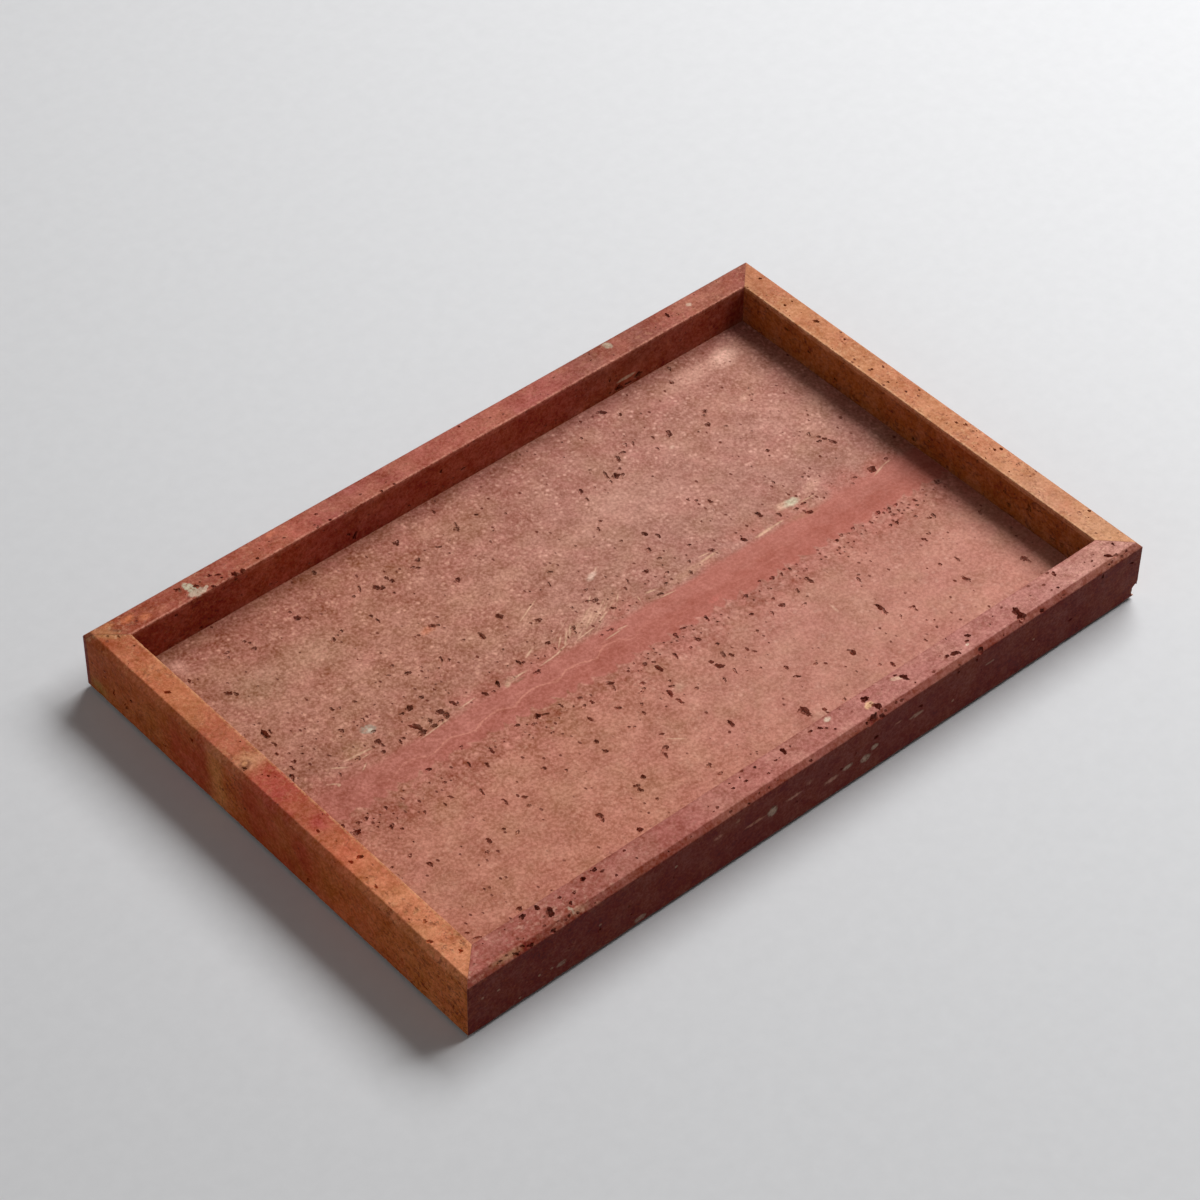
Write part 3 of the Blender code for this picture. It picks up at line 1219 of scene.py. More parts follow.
@dataclass
class Rail:
    """One rail of the frame, cut from the ring, pitted and finished."""

    side: Side
    ring: RailFrame
    finish: Travertine
    lining: Material
    pores: dict[Face, tuple[Pit, ...]]
    strewn: dict[Face, Scatter]
    nicks: tuple[Pit, ...]
    seed: int

    def face_frame(self, face: Face) -> FaceFrame:
        """Finds where one of the rail's faces lies.

        Args:
            face: The face.

        Returns:
            Its frame. Across runs in from the outer face, or up from the tray's base on an upright face.
        """
        inward = self.side.inward
        origin, across, outward = {
            Face.TOP: (Z_AXIS * PLAN.rim, inward, Z_AXIS),
            Face.UNDER: (Z_AXIS * PLAN.base, inward, -Z_AXIS),
            Face.OUTER: (Z_AXIS * 0, Z_AXIS, -inward),
            Face.INNER: (inward * PLAN.rail_width, Z_AXIS, inward),
            Face.BEVEL: (Z_AXIS * (PLAN.rim - PLAN.bevel), inward + Z_AXIS, Z_AXIS - inward),
        }[face]
        origin -= inward * PLAN.half_across(self.side)
        return FaceFrame(origin, self.side.along, across.normalized(), outward.normalized())

    def build(self) -> None:
        """Makes the rail and hands it over."""
        node = f"{self.side.value}_rail"
        rail = shaped(f"{node}_stone", self.ring.sawn(self.side))
        cuts = PitField(self.seed)
        for face, pores in self.pores.items():
            for pit in pores:
                cuts.open_cluster(self.face_frame(face), pit)
        for corner, height, size in self.ring.corner_chips:
            if self.side.inward.dot(corner.way) < 0:
                end = self.side.along.dot(corner.way) * PLAN.half_run(self.side) / MM
                cuts.open_pit(self.face_frame(Face.OUTER), Pit(end, height, size, size), size / 2)
        for nick in self.nicks:
            cuts.open_cluster(self.face_frame(Face.BEVEL), nick, 0.55 * nick.width)
        for face, scatter in self.strewn.items():
            cuts.strew(self.face_frame(face), scatter)
        cuts.cut_from(rail)
        smooth_by_angle(rail, 35)
        keep_flats_flat(rail)
        hand_over(rail, node, self.finish.material, self.lining)


@dataclass
class FloorSlab:
    """The slab that things stand on, let in between the rails."""

    finish: Travertine
    lining: Material
    pores: tuple[Pit, ...]
    strewn: tuple[Scatter, ...]
    strewn_under: Scatter
    joint: float = 0.22 * MM
    step: float = 4.6 * MM
    ease: float = 0.18 * MM
    seed: int = 71

    @property
    def layers(self) -> Rows:
        """The slab's outline from its underside up: how far each loop is drawn in, and its height."""
        low, high, ease = PLAN.base, PLAN.floor, self.ease
        return ((ease, low), (0, low + ease), (0, (low + high) / 2), (0, high - ease),
                (ease * 0.3, high - ease * 0.3), (ease, high))

    @property
    def blank(self) -> Shape:
        """The unpitted slab, as a grid on its two faces and bands round its edge."""
        half_x, half_y = PLAN.inner_half_length - self.joint, PLAN.inner_half_depth - self.joint
        count_x, count_y = round(2 * half_x / self.step), round(2 * half_y / self.step)
        front = [(2 * i / count_x - 1, -1) for i in range(count_x)]
        right = [(1, 2 * j / count_y - 1) for j in range(count_y)]
        edge = front + right + [(-x, -y) for x, y in front + right]
        shape = bmesh.new()

        def corner(x: float, y: float, inset: float, height: float) -> bmesh.types.BMVert:
            """Adds a corner, at a share of the slab's half sizes."""
            return shape.verts.new((x * (half_x - inset), y * (half_y - inset), height))

        loops = [[corner(x, y, *layer) for x, y in edge] for layer in self.layers]
        for lower, upper in zip(loops, loops[1:]):
            for a, b, c, d in round_between(lower, upper):
                shape.faces.new((a, b, d, c))
        for end in (0, -1):
            grid = {(round((x + 1) * count_x / 2), round((y + 1) * count_y / 2)): vertex
                    for (x, y), vertex in zip(edge, loops[end])}
            for i, j in product(range(1, count_x), range(1, count_y)):
                grid[i, j] = corner(2 * i / count_x - 1, 2 * j / count_y - 1, *self.layers[end])
            for i, j in product(range(count_x), range(count_y)):
                shape.faces.new((grid[i, j], grid[i + 1, j], grid[i + 1, j + 1], grid[i, j + 1]))
        return shape

    def build(self) -> None:
        """Makes the slab and hands it over."""
        slab = shaped("floor_slab_stone", self.blank)
        top = FaceFrame(Z_AXIS * PLAN.floor, X_AXIS, Y_AXIS, Z_AXIS)
        cuts = PitField(self.seed, widening=0.45)
        for pit in self.pores:
            cuts.open_cluster(top, pit)
        for scatter in self.strewn:
            cuts.strew(top, scatter)
        cuts.strew(FaceFrame(Z_AXIS * PLAN.base, X_AXIS, Y_AXIS, -Z_AXIS), self.strewn_under)
        cuts.cut_from(slab)
        smooth_by_angle(slab, 25)
        hand_over(slab, "floor_slab", self.finish.material, self.lining)


@dataclass
class MitreGlue:
    """The film of glue in one mitre, squeezed out unevenly and wiped."""

    corner: Corner
    ring: RailFrame
    finish: Material
    clearance: float = 0.015 * MM
    step: float = 0.9 * MM

    def outline(self, below: float, ragged: float, seed: float) -> list[Vector]:
        """Traces the film's edge in the plane of the mitre.

        Args:
            below: How far it stays below the surface of the stone.
            ragged: How far it strays further down.
            seed: A shift that makes one edge unlike another.

        Returns:
            The points, each with its distance from the recess and its height.
        """
        base, rim, bevel = PLAN.base, PLAN.rim, PLAN.bevel
        run = (PLAN.outer_end(self.corner) - PLAN.inner_end(self.corner)).length
        corners = ((0, base), (run, base), (run, rim - bevel), (run - bevel * run / PLAN.rail_width, rim),
                   (0, rim))
        middle = Vector((run / 2, (base + rim) / 2))
        points = []
        for start, end in in_turn([Vector(corner) for corner in corners]):
            parts = max(1, round((end - start).length / self.step))
            for k in range(parts):
                point = start.lerp(end, k / parts)
                spot = Vector((point.x, point.y, 0)) * (1 / (1.5 * MM)) + Vector((seed, 0, 0))
                stray = min(1, max(0, 0.5 + 0.9 * noise.noise(spot)))
                inward = (middle - point).normalized()
                across = min(1.4, 1 / max(0.4, abs(inward.x) + abs(inward.y)))
                point += inward * across * (below + ragged * stray) * 1.4
                for corner, height, size in self.ring.corner_chips:
                    beside = abs(point.y / MM - height) < 0.75 * size and point.x > run - MM
                    if corner is self.corner and beside:
                        point.x -= 0.75 * size * MM
                points.append(point)
        return points

    def build(self) -> None:
        """Makes the film and hands it over."""
        wide = self.corner is Corner.BACK_LEFT
        inner = PLAN.inner_end(self.corner)
        run = (PLAN.outer_end(self.corner) - inner).normalized()
        half = PLAN.seam_normal(self.corner) * (self.ring.seam_width(self.corner) / 2 - self.clearance)
        below, ragged = (0, 0.1 * MM) if wide else (0.03 * MM, 0.05 * MM)
        shares = (-1, -0.5, 0, 0.5, 1) if wide else (-1, 0, 1)
        points, rows = [], []
        for number, share in enumerate(shares):
            edge = self.outline(below if abs(share) == 1 else below * 0.75, ragged, number * 2.7)
            rows.append(range(len(points), len(points) + len(edge)))
            points += [inner + run * x + Z_AXIS * z + half * share for x, z in edge]
        faces = []
        for row, following in zip(rows, rows[1:]):
            faces += [(a, b, d, c) for a, b, c, d in round_between(row, following)]
        faces += [tuple(reversed(rows[0])), tuple(rows[-1])]
        node = f"mitre_glue_{self.corner.label}"
        film = new_object(f"{node}_film", points, faces)
        face_outward(film)
        smooth_by_angle(film, 40)
        hand_over(film, node, self.finish)


@dataclass
class FloorGlue:
    """The strip of glue between the slab's edge and one rail, a little below the floor."""

    side: Side
    joint: float
    finish: Material
    clearance: float = 0.015 * MM
    step: float = 1.5 * MM
    below: float = 0.12 * MM

    def build(self) -> None:
        """Makes the strip and hands it over."""
        node = f"floor_glue_{self.side.value}"
        low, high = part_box(node)
        half_run = (high - low).dot(self.side.along) / 2
        near = PLAN.half_across(self.side) - PLAN.rail_width - self.clearance
        far = near - self.joint + 2 * self.clearance
        count = round(2 * half_run / self.step)
        points, rows = [], []
        for k in range(count + 1):
            along = self.side.along * (half_run * (2 * k / count - 1))
            top = PLAN.floor - self.below * (1 + 0.8 * noise.noise(along * (1 / (2.5 * MM))))
            section = ((near, low.z), (far, low.z), (far, top - 0.03 * MM),
                       ((near + far) / 2, top - 0.06 * MM), (near, top))
            rows.append(range(len(points), len(points) + len(section)))
            points += [along - self.side.inward * out + Z_AXIS * height for out, height in section]
        faces = [tuple(rows[0]), tuple(reversed(rows[-1]))]
        for row, following in zip(rows, rows[1:]):
            faces += [(a, c, d, b) for a, b, c, d in round_between(row, following)]
        strip = new_object(f"{node}_strip", points, faces)
        face_outward(strip)
        smooth_by_angle(strip, 40)
        hand_over(strip, node, self.finish)


@dataclass
class Pad:
    """A round soft pad, stuck to the underside of the slab."""

    corner: Corner
    finish: Material
    sides: int = 72
    skin: float = 0.02 * MM
    tape: float = 0.22 * MM

    def profile(self, radius: float) -> list[Pair]:
        """Traces the pad from the middle of its foot to the middle of its top.

        Args:
            radius: The pad's radius.

        Returns:
            The points, each with its radius and its height.
        """
        top = PLAN.base - self.skin
        foot = ((0, 0.12), (0.45, 0.12), (0.5, 0.02), (0.86, 0), (0.93, 0.03), (0.98, 0.14), (1, 0.34))
        neck = top - self.tape
        head = ((1, neck - 0.25 * MM), (0.985, neck - 0.08 * MM), (0.95, neck), (0.955, top - 0.02 * MM),
                (0.94, top), (0.5, top), (0, top))
        return [(radius * r, z * MM) for r, z in foot] + [(radius * r, z) for r, z in head]

    def build(self) -> None:
        """Makes the pad and hands it over."""
        node = f"pad_{self.corner.label}"
        low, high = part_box(node)
        middle = (low + high) / 2
        shape = bmesh.new()
        rows = []
        for radius, height in self.profile((high.x - low.x) / 2):
            row = []
            for k in range(self.sides if radius else 1):
                turn = 2 * math.pi * k / self.sides
                x, y = middle.x + radius * math.cos(turn), middle.y + radius * math.sin(turn)
                row.append(shape.verts.new((x, y, height)))
            rows.append(row)
        first, *bands, last = rows
        for a, b in in_turn(bands[0]):
            shape.faces.new((first[0], b, a))
        for row, following in zip(bands, bands[1:]):
            for a, b, c, d in round_between(row, following):
                shape.faces.new((a, b, d, c))
        for a, b in in_turn(bands[-1]):
            shape.faces.new((a, b, last[0]))
        pad = shaped(f"{node}_rubber", shape)
        smooth_by_angle(pad, 30)
        hand_over(pad, node, self.finish)


@dataclass
class Studio:
    """The pale floor, the soft light and the camera."""

    azimuth: float = -41.73
    elevation: float = 44.58
    roll: float = 0.854
    target: Pair = (7.15 * MM, 18.07 * MM)
    distance: float = 1307.6 * MM
    lens: float = 113.84
    light_way: Numbers = (13.3, 1.9, 16.0)
    light_distance: float = 1.5
    light_size: Pair = (1.3, 0.75)
    light_power: float = 26.1
    fill_power: float = 3.6
    ambient: float = 0.1
    floor_reach: float = 6.0

    def place_camera(self) -> None:
        """Puts the camera where the photographer stood."""
        turn, rise, lean = (math.radians(angle) for angle in (self.azimuth, self.elevation, self.roll))
        back = Vector((math.sin(turn) * math.cos(rise), -math.cos(turn) * math.cos(rise), math.sin(rise)))
        right = Z_AXIS.cross(back).normalized()
        up = back.cross(right)
        leaning_right = right * math.cos(lean) + up * math.sin(lean)
        leaning_up = up * math.cos(lean) - right * math.sin(lean)
        data = bpy.data.cameras.new("camera")
        data.lens = self.lens
        data.sensor_width = 36
        camera = link("camera", data)
        pose = Matrix((leaning_right, leaning_up, back)).transposed().to_4x4()
        pose.translation = Vector((*self.target, PLAN.base)) + back * self.distance
        camera.matrix_world = pose
        bpy.context.scene.camera = camera

    def hang(self, name: str, way: Numbers, distance: float, size: Pair, power: float) -> None:
        """Hangs a softbox that faces the tray.

        Args:
            name: Its name.
            way: The way from the tray to it.
            distance: How far off it hangs.
            size: Its two sides.
            power: Its power, in watts.
        """
        data = bpy.data.lights.new(name, "AREA")
        data.shape = "RECTANGLE"
        data.size, data.size_y = size
        data.energy = power
        lamp = link(name, data)
        way_out = Vector(way).normalized()
        lamp.location = way_out * distance
        lamp.rotation_mode = "QUATERNION"
        lamp.rotation_quaternion = way_out.to_track_quat("Z", "Y")

    def pale_rays(self, tree: bpy.types.NodeTree) -> Socket:
        """Tells the rays that see the pale background from those that carry light to the tray.

        Args:
            tree: The nodes that ask.

        Returns:
            The socket of the answer, 1 or 0.
        """
        path = tree.nodes.new("ShaderNodeLightPath")
        seen = path.outputs["Is Camera Ray"]
        for other in ("Is Glossy Ray", "Is Transmission Ray"):
            either = tree.nodes.new("ShaderNodeMath")
            either.operation = "MAXIMUM"
            tree.links.new(seen, either.inputs[0])
            tree.links.new(path.outputs[other], either.inputs[1])
            seen = either.outputs[0]
        return seen

    def light_world(self) -> None:
        """Gives the world a pale look and a low, even light."""
        world = bpy.data.worlds.new("studio")
        world.use_nodes = True
        bpy.context.scene.world = world
        tree = world.node_tree
        look = tree.nodes["Background"]
        look.inputs["Color"].default_value = shade(226, 227, 229)
        glow = tree.nodes.new("ShaderNodeBackground")
        glow.inputs["Color"].default_value = (1.0, 0.93, 0.88, 1.0)
        glow.inputs["Strength"].default_value = self.ambient
        either = tree.nodes.new("ShaderNodeMixShader")
        for place, socket in enumerate((self.pale_rays(tree), glow.outputs[0], look.outputs[0])):
            tree.links.new(socket, either.inputs[place])
        tree.links.new(either.outputs[0], tree.nodes["World Output"].inputs["Surface"])

    def lay_floor(self) -> None:
        """Lays a wide floor that looks pale and throws little light back on the tray."""
        corners = [Vector((x * self.floor_reach, y * self.floor_reach, 0)) for x, y in ROUND]
        floor = new_object("studio_floor", corners, [(0, 1, 2, 3)])
        bench = Bench("studio floor")
        pale = bench.mix(bench.noise(6, 4, 0.6), (216, 217, 219), (224, 225, 227))
        colour = bench.mix(self.pale_rays(bench.tree), (110, 110, 112), pale)
        floor.data.materials.clear()
        floor.data.materials.append(bench.finish(colour, 0.9, 0.1))

    def build(self) -> None:
        """Sets the studio up."""
        bpy.context.scene.view_settings.view_transform = "Standard"
        self.place_camera()
        self.lay_floor()
        self.light_world()
        self.hang("key softbox", self.light_way, self.light_distance, self.light_size, self.light_power)
        self.hang("left fill", (-1, -0.1, 0.35), 1.6, (1.2, 1.2), self.fill_power)


CALCITE = (218, 192, 168)
GREEN_CALCITE = (196, 184, 158)
GREY_CALCITE = (204, 172, 150)

FLOOR_PORES = pits(
    (-82.6, 71.9, 2.2, 1.9), (-82.8, 75.6, 1.1, 0.8), (-128.4, 71.6, 1.6, 1.1, 40), (-102.6, 69.5, 1.8, 1.3),
    (-103.2, 74.4, 1.2, 0.8), (-102, 72.8, 1, 0.7), (-111.2, 73.9, 2.6, 0.8, 5),
    (-111.8, 71.8, 1.5, 0.7, 20), (-64.5, 85.5, 2.2, 1.2, 70), (-121.7, 58.6, 2.4, 1.4, -30),
    (-120, 56.7, 1.7, 1, -70), (-79.6, 55.6, 1.9, 1.1, 25), (-77.5, 56.3, 1.6, 0.6, 20),
    (-75.2, 57.1, 1.6, 0.9, 20), (-123.9, 36, 4.2, 1.8, 88), (-122, 35.8, 2, 0.8, 65),
    (-124.4, 29.8, 1.5, 0.9, 50), (-126.4, 26.3, 1.4, 1, 45), (-124.1, 19.9, 1.6, 1.1, 30),
    (-126.5, 18.2, 2, 0.7, 80), (-129, 14.8, 3.4, 1.3, 65), (-100.1, 30.6, 1.8, 0.8, 90),
    (-103.7, 20.6, 1.7, 1.2, 80), (-95.4, 19.8, 1.6, 0.8, 60), (-80.3, 14.2, 2.7, 2, 35),
    (-84, 13.8, 2, 0.8), (-74.1, 15.5, 1.9, 1.1, 20), (-96, 13.7, 1.8, 1, -10), (-70.6, 27.3, 1.9, 1.3),
    (-76.2, 30.6, 1, 0.7), (-72.3, 33.2, 1.2, 0.9), (-65.6, 26.2, 1.3, 0.7, 40), (-98, 29.2, 1.4, 0.7, 30),
    (-92.3, 28.4, 1.4, 0.8), (-33.9, 78.6, 2.1, 1.7), (-14.1, 82.2, 1.6, 0.8, 60),
    (-52.8, 66.1, 2.6, 1.7, -60), (-51.5, 64.5, 2.4, 1.5, -15), (-47.3, 67.3, 2.2, 1, 95),
    (-46.7, 65, 1.8, 1.5), (-33.6, 67.2, 1.9, 1.3, 10), (-37.2, 65.4, 1.6, 0.9, 10), (-36, 64.1, 1.5, 1.1),
    (-57.8, 69, 2.6, 0.9, 65), (-61.8, 67.4, 2.2, 0.8, 30), (-49.9, 59.9, 1.1, 0.8), (-62.8, 56.3, 1.2, 1),
    (-62.5, 53, 2.2, 0.8, 80), (-13.4, 70.5, 2.1, 1.5), (-12.4, 72.5, 1.6, 0.8, 80), (-3.6, 71.7, 1.2, 0.9),
    (-24, 67.5, 2.4, 0.7, -20), (-29.2, 50.8, 2, 1.4, 45), (-50.2, 39.3, 2.4, 1.3, -25),
    (-48.6, 38.2, 1.8, 0.9, -25), (-56.7, 38.7, 1.2, 0.9), (-29.7, 28, 2.7, 1.8, 100),
    (-40.4, 24.6, 3.8, 1.2, 82), (-46.4, 27, 1.4, 0.7, 10), (-58, 24.8, 2.6, 0.8, 65),
    (-56, 23.1, 1.4, 0.8, 30), (-20.9, 17.8, 2.3, 1.4, -5), (-24, 18.3, 1.3, 0.8), (-6.9, 28.8, 2, 0.7, 60),
    (-2.6, 33, 1.8, 0.8, -40), (0.6, 18.5, 1.6, 0.9, 20), (-2.4, 14, 1.4, 1), (-8.5, 15, 1.4, 0.7, 30),
    (65.4, 83.4, 2.5, 1.5, -60), (64, 84.3, 1.4, 0.9), (69.1, 78.4, 1.8, 1.2, 25), (50.2, 77.9, 1.3, 0.9),
    (31.9, 56.9, 3, 1.2, 45), (31, 52.3, 1.8, 0.8, 80), (46.6, 55, 2.8, 2.2), (44.3, 57.6, 4, 0.9, 75),
    (43.3, 53.8, 1.6, 0.8, 60), (48.9, 53.9, 1.6, 1.2, 30), (50, 56.8, 1.8, 0.8, 35), (53.1, 61, 3, 1.2, 60),
    (56.5, 62.7, 2.6, 0.9, -15), (60, 65, 1.6, 0.8, 60), (62.4, 63.7, 2.2, 0.8, 50),
    (75.6, 59.2, 2.7, 1.9, 35), (70, 61.5, 1.6, 0.8, 80), (67.4, 56, 1.4, 0.8, 80), (24, 38.3, 2, 0.9, 70),
    (27.3, 41.1, 1.3, 0.9, -30), (34.8, 26, 2.3, 1.5, -75), (37.7, 22.2, 2.4, 1, 75), (30.7, 19.3, 2, 1, 60),
    (26.2, 28.8, 1.3, 0.8), (63.1, 23.9, 1.8, 1, 80), (59.8, 27.2, 1.2, 0.9), (57.8, 29.5, 1.3, 0.8, 30),
    (30.2, 13.8, 1.6, 0.9), (99.3, 85.3, 1.9, 1, 45), (95, 79.5, 1.9, 1.2, 100), (93.6, 60, 2.6, 1.2, 20),
    (91.4, 58.5, 1.5, 0.8, 10), (89.6, 54, 2, 1.5), (112.4, 55.4, 1.4, 0.7, 40), (93.8, 49.2, 1.6, 0.7, -20),
    (96.6, 30, 1.7, 1.2, 30), (113.5, 26.6, 1.8, 1, 70), (115.5, 23.4, 1.3, 0.9), (114.1, 21.6, 1.4, 1),
    (116.3, 21.4, 1.7, 1, -45), (117.5, 18.4, 3.2, 1, -65), (86.7, 16.3, 1.4, 0.8, 80),
    (128.5, 25.8, 1.3, 0.9), (-84, 6.2, 4, 1.7, -56), (-84, 2.7, 3.4, 1.7, -5), (-79.4, 2.6, 4, 1.3),
    (-76.4, 2.7, 2.6, 0.8, 3), (-79, 5, 1.9, 1.3, 30), (-73.6, 6.2, 2.7, 1.8, -30), (-72.9, 3.8, 2, 1.8),
    (-67.7, 6.5, 3, 1.1, 105), (-97.8, 9.4, 2, 1.6), (-97.7, 7.6, 2.4, 0.8, 90), (-99.2, 4.3, 1.6, 1.2),
    (-92.3, 4.3, 2, 0.9, 60), (-90.4, 4.8, 1.4, 0.9, -30), (-107.6, 7.2, 1.4, 0.9),
    (-116.5, 5.5, 1.8, 0.7, 60), (-50.8, 4, 2.8, 1.3, 45), (-57, 3, 2.5, 1, 105), (-54.2, 1.9, 1.2, 0.8),
    (-39, 6.8, 2.6, 0.9, 100), (-37.3, -0.7, 2.7, 1.3, 10), (-25.8, 7.5, 2.2, 1.3, 10),
    (-14.5, 7.3, 1.7, 1.3), (-15.3, 5.4, 1.6, 0.8, 70), (-0.2, 12.6, 2.1, 1.3), (2, 5.8, 1.7, 0.8, -50),
    (-5.5, -1.6, 2.3, 0.9), (-9.5, -1.5, 1.6, 0.7), (22.8, 12, 1.7, 1.3, 40), (14.5, 12.5, 2.2, 0.7, 60),
    (42.8, 12, 1.3, 0.8), (27.8, 6.8, 1.8, 0.9), (37.3, 6, 1.3, 0.8, 30), (47, 5, 1.9, 1.2),
    (33.8, 1.5, 1.9, 1.1, 45), (23.5, 2.8, 2, 0.8, 40), (18.8, 0.5, 2.4, 0.8, -10), (59, 1.7, 2.5, 1.4, -65),
    (71.5, 7.6, 3.3, 1.4, 85), (77, 2.8, 2, 1, 90), (83.3, 1.2, 1.8, 1), (87, 1.5, 2.8, 0.8, 5),
    (85.8, -2.8, 2.9, 1.3, -20), (110, -0.4, 2, 0.7), (107.5, -2.3, 1.1, 0.7), (118, -1.3, 2.9, 2.2, 10),
    (125.7, -0.4, 1.5, 1), (96, 11.6, 1.7, 0.8, 20), (-128, -17.8, 2.9, 1.9), (-129.7, -12.7, 1.7, 1, 60),
    (-125, -14.8, 1.5, 1), (-122, -15, 1.5, 1.1), (-114.3, -15.5, 1.7, 1.1, 40), (-118, -23, 2.3, 1.1, 45),
    (-93, -11.4, 2.1, 1.2), (-78.7, -10.7, 1.3, 0.8, 45), (-81.6, -18.4, 2.4, 0.8, 70),
    (-92.7, -19.2, 1.4, 0.8), (-72.1, -18.4, 2.3, 1.1, 100), (-77.2, -22, 2, 1, 70),
    (-106, -25.3, 1.6, 0.8, 60), (-95.3, -25.5, 1.8, 0.9, -60), (-98.7, -26.8, 1.5, 0.7, 90),
    (-116, -26, 1.5, 0.8), (-50.6, -16.2, 2.4, 1.8), (-47.9, -17.2, 2.6, 0.8, -20), (-58.3, -15, 2, 0.9),
    (-54, -18.2, 1.3, 0.8), (-41.4, -17.5, 2, 0.8, 90), (-34.5, -18.8, 1.5, 0.9),
    (-22, -20.5, 2.5, 1.3, -40), (-22.8, -23, 2, 0.9, 70), (-32.5, -23, 1.8, 0.9, 90),
    (-35.7, -22.8, 1.8, 0.9, 30), (-7.4, -21.2, 1.6, 1.2), (-5, -25.8, 3.3, 1.4, 95),
    (-4.6, -22.5, 1.4, 0.9), (3.1, -25.2, 2.6, 1, 70), (9.5, -17.8, 2, 1.1, 75), (13.4, -17, 2.8, 0.9),
    (-13.9, -27.4, 1.7, 1), (-15.1, -29.6, 1.3, 0.8), (-17, -30.4, 1.4, 0.8, 30),
    (-38, -28.6, 2.6, 0.8, 100), (9.5, -25.5, 1.3, 0.8), (23, -19, 2.2, 0.9, 80), (14, -24.1, 2.2, 1.1, -55),
    (40.2, -19.5, 2.7, 1.2, 10), (53.4, -18.7, 1.9, 1.2), (57, -19.5, 1.7, 0.9, 60),
    (61, -19.4, 1.7, 0.9, 60), (49, -17, 1.2, 0.8), (36, -27, 1.6, 1), (62.3, -27.8, 3.2, 1.2, 100),
    (64.8, -23.5, 1.5, 0.7, 10), (46.8, -26.3, 1.3, 0.8), (55.7, -29, 2.1, 0.9, 60),
    (83.3, -19.6, 1.7, 1.1, 10), (86, -18.8, 1.6, 0.8), (91.5, -19, 1.6, 0.9, 40),
    (104, -18.8, 2.1, 1.1, 15), (107.5, -20.5, 2.4, 1.2, 60), (111.5, -20, 1.8, 0.8, 20),
    (107, -23, 1.2, 0.9), (105.6, -26.5, 1.7, 1.1, 30), (102.8, -26.2, 1.2, 0.8), (131, -21.5, 1.9, 1.3, 20),
    (-121.6, -36.7, 1.4, 1), (-118.8, -43.4, 2.3, 1, 100), (-98.1, -48.3, 2.1, 1.4, 55),
    (-91.2, -47.3, 1.4, 0.9), (-88.8, -51.3, 2, 0.8, 30), (-101.8, -51.5, 1.4, 0.9),
    (-63.9, -35.5, 1.5, 1.1), (-77, -41, 1.9, 0.9, -50), (-78.7, -44.8, 1.3, 0.8, -40),
    (-86.3, -30.5, 2.6, 0.8, 75), (-129, -36.8, 1.6, 0.7, 10), (-83, -38, 2.2, 0.7, 100),
    (-64.1, -62.8, 2.2, 1.4, 100), (-64.2, -64.6, 2.4, 1.2, 65), (-109.4, -76.3, 2.3, 1.2, 10),
    (-128.3, -73.2, 1.1, 0.7), (-127, -76.8, 2.6, 0.7, -20), (-43.2, -37.6, 2, 1.2, 60),
    (-43.6, -42.8, 1.8, 1.3, -20), (-27.5, -30.9, 2, 0.9, -25), (-22.8, -38, 2, 0.8, 80),
    (-20.7, -34.6, 1.4, 0.8, 60), (-30.8, -39.6, 1.3, 0.8), (-29.3, -40.8, 1.4, 0.7),
    (-59.2, -40.9, 1.5, 0.7, 40), (-10, -37, 3.2, 1.4, 75), (-9.9, -41.6, 3.2, 0.9, 90),
    (-7.7, -34.8, 1.7, 0.9, -30), (-6.3, -32.5, 1.3, 0.8, 30), (10.3, -35, 1.6, 1.3),
    (11.3, -38.4, 3, 1.7, -40), (8, -44.2, 2, 0.8, 60), (-1.8, -41, 1.3, 0.9), (-24.7, -49, 1.9, 0.9, -15),
    (-27.8, -54.6, 2.5, 1.4, 5), (-30.3, -55.6, 2.2, 0.8, 40), (-29.9, -56.8, 2.4, 1, 75),
    (-42, -59.3, 1.8, 1.5), (-46.5, -61, 1.8, 1.3, 20), (-46.6, -62.8, 1.9, 1.2, 80),
    (-45.1, -69.6, 1.4, 0.9, 30), (-4, -60.3, 3.4, 1.3, 85), (-22.3, -69.8, 2, 1.1, 45),
    (-22, -74.8, 1.4, 0.9), (-58.1, -75.8, 1.9, 1.5), (17.6, -30, 1.6, 0.9), (15.7, -35, 2.4, 1.1, 80),
    (17.6, -37, 2.1, 1.1, -50), (23.5, -38.4, 1.8, 0.9, 80), (24.8, -40.8, 1.6, 0.7, -50),
    (46.8, -30.6, 2.1, 1.4, -30), (41.7, -31.5, 2, 0.8, 55), (31.9, -34.2, 1.5, 0.9, 30),
    (53, -35.3, 2.4, 0.7, 10), (75.5, -38.5, 2.4, 0.8, 80), (77, -36.9, 1.4, 0.7), (13.5, -43.3, 2, 0.8, 75),
    (71.7, -52.8, 3.4, 1.3, 84), (71.4, -55.6, 2.2, 1.2, 80), (27.7, -53.5, 1.6, 1, 60),
    (27.5, -58.6, 2.2, 1, -30), (36.3, -58.4, 1.4, 0.8), (49.7, -62.7, 2.8, 1.7, 88),
    (73.9, -60.8, 1.8, 0.7, 40), (80, -60.3, 2.4, 1), (80.2, -61.6, 1.8, 0.9, 90),
    (18.5, -72.6, 3.4, 2.3, 85), (17, -71.2, 1.6, 0.8), (24, -75.8, 1.6, 1.2, 60), (24, -78, 1.3, 0.8),
    (55.9, -75.3, 2, 1.1, 70), (52.3, -72.8, 1.1, 0.7), (32.4, -76.7, 1.2, 0.7, 30),
    (112.5, -28.8, 1.5, 0.8), (116.9, -25, 1.5, 0.8), (117.7, -32.5, 2.3, 1, 80), (115.9, -32.4, 1.2, 0.8),
    (106.8, -39, 2, 0.9, -70), (110, -38, 1.3, 0.8), (102.2, -51.4, 1.5, 0.9, 60),
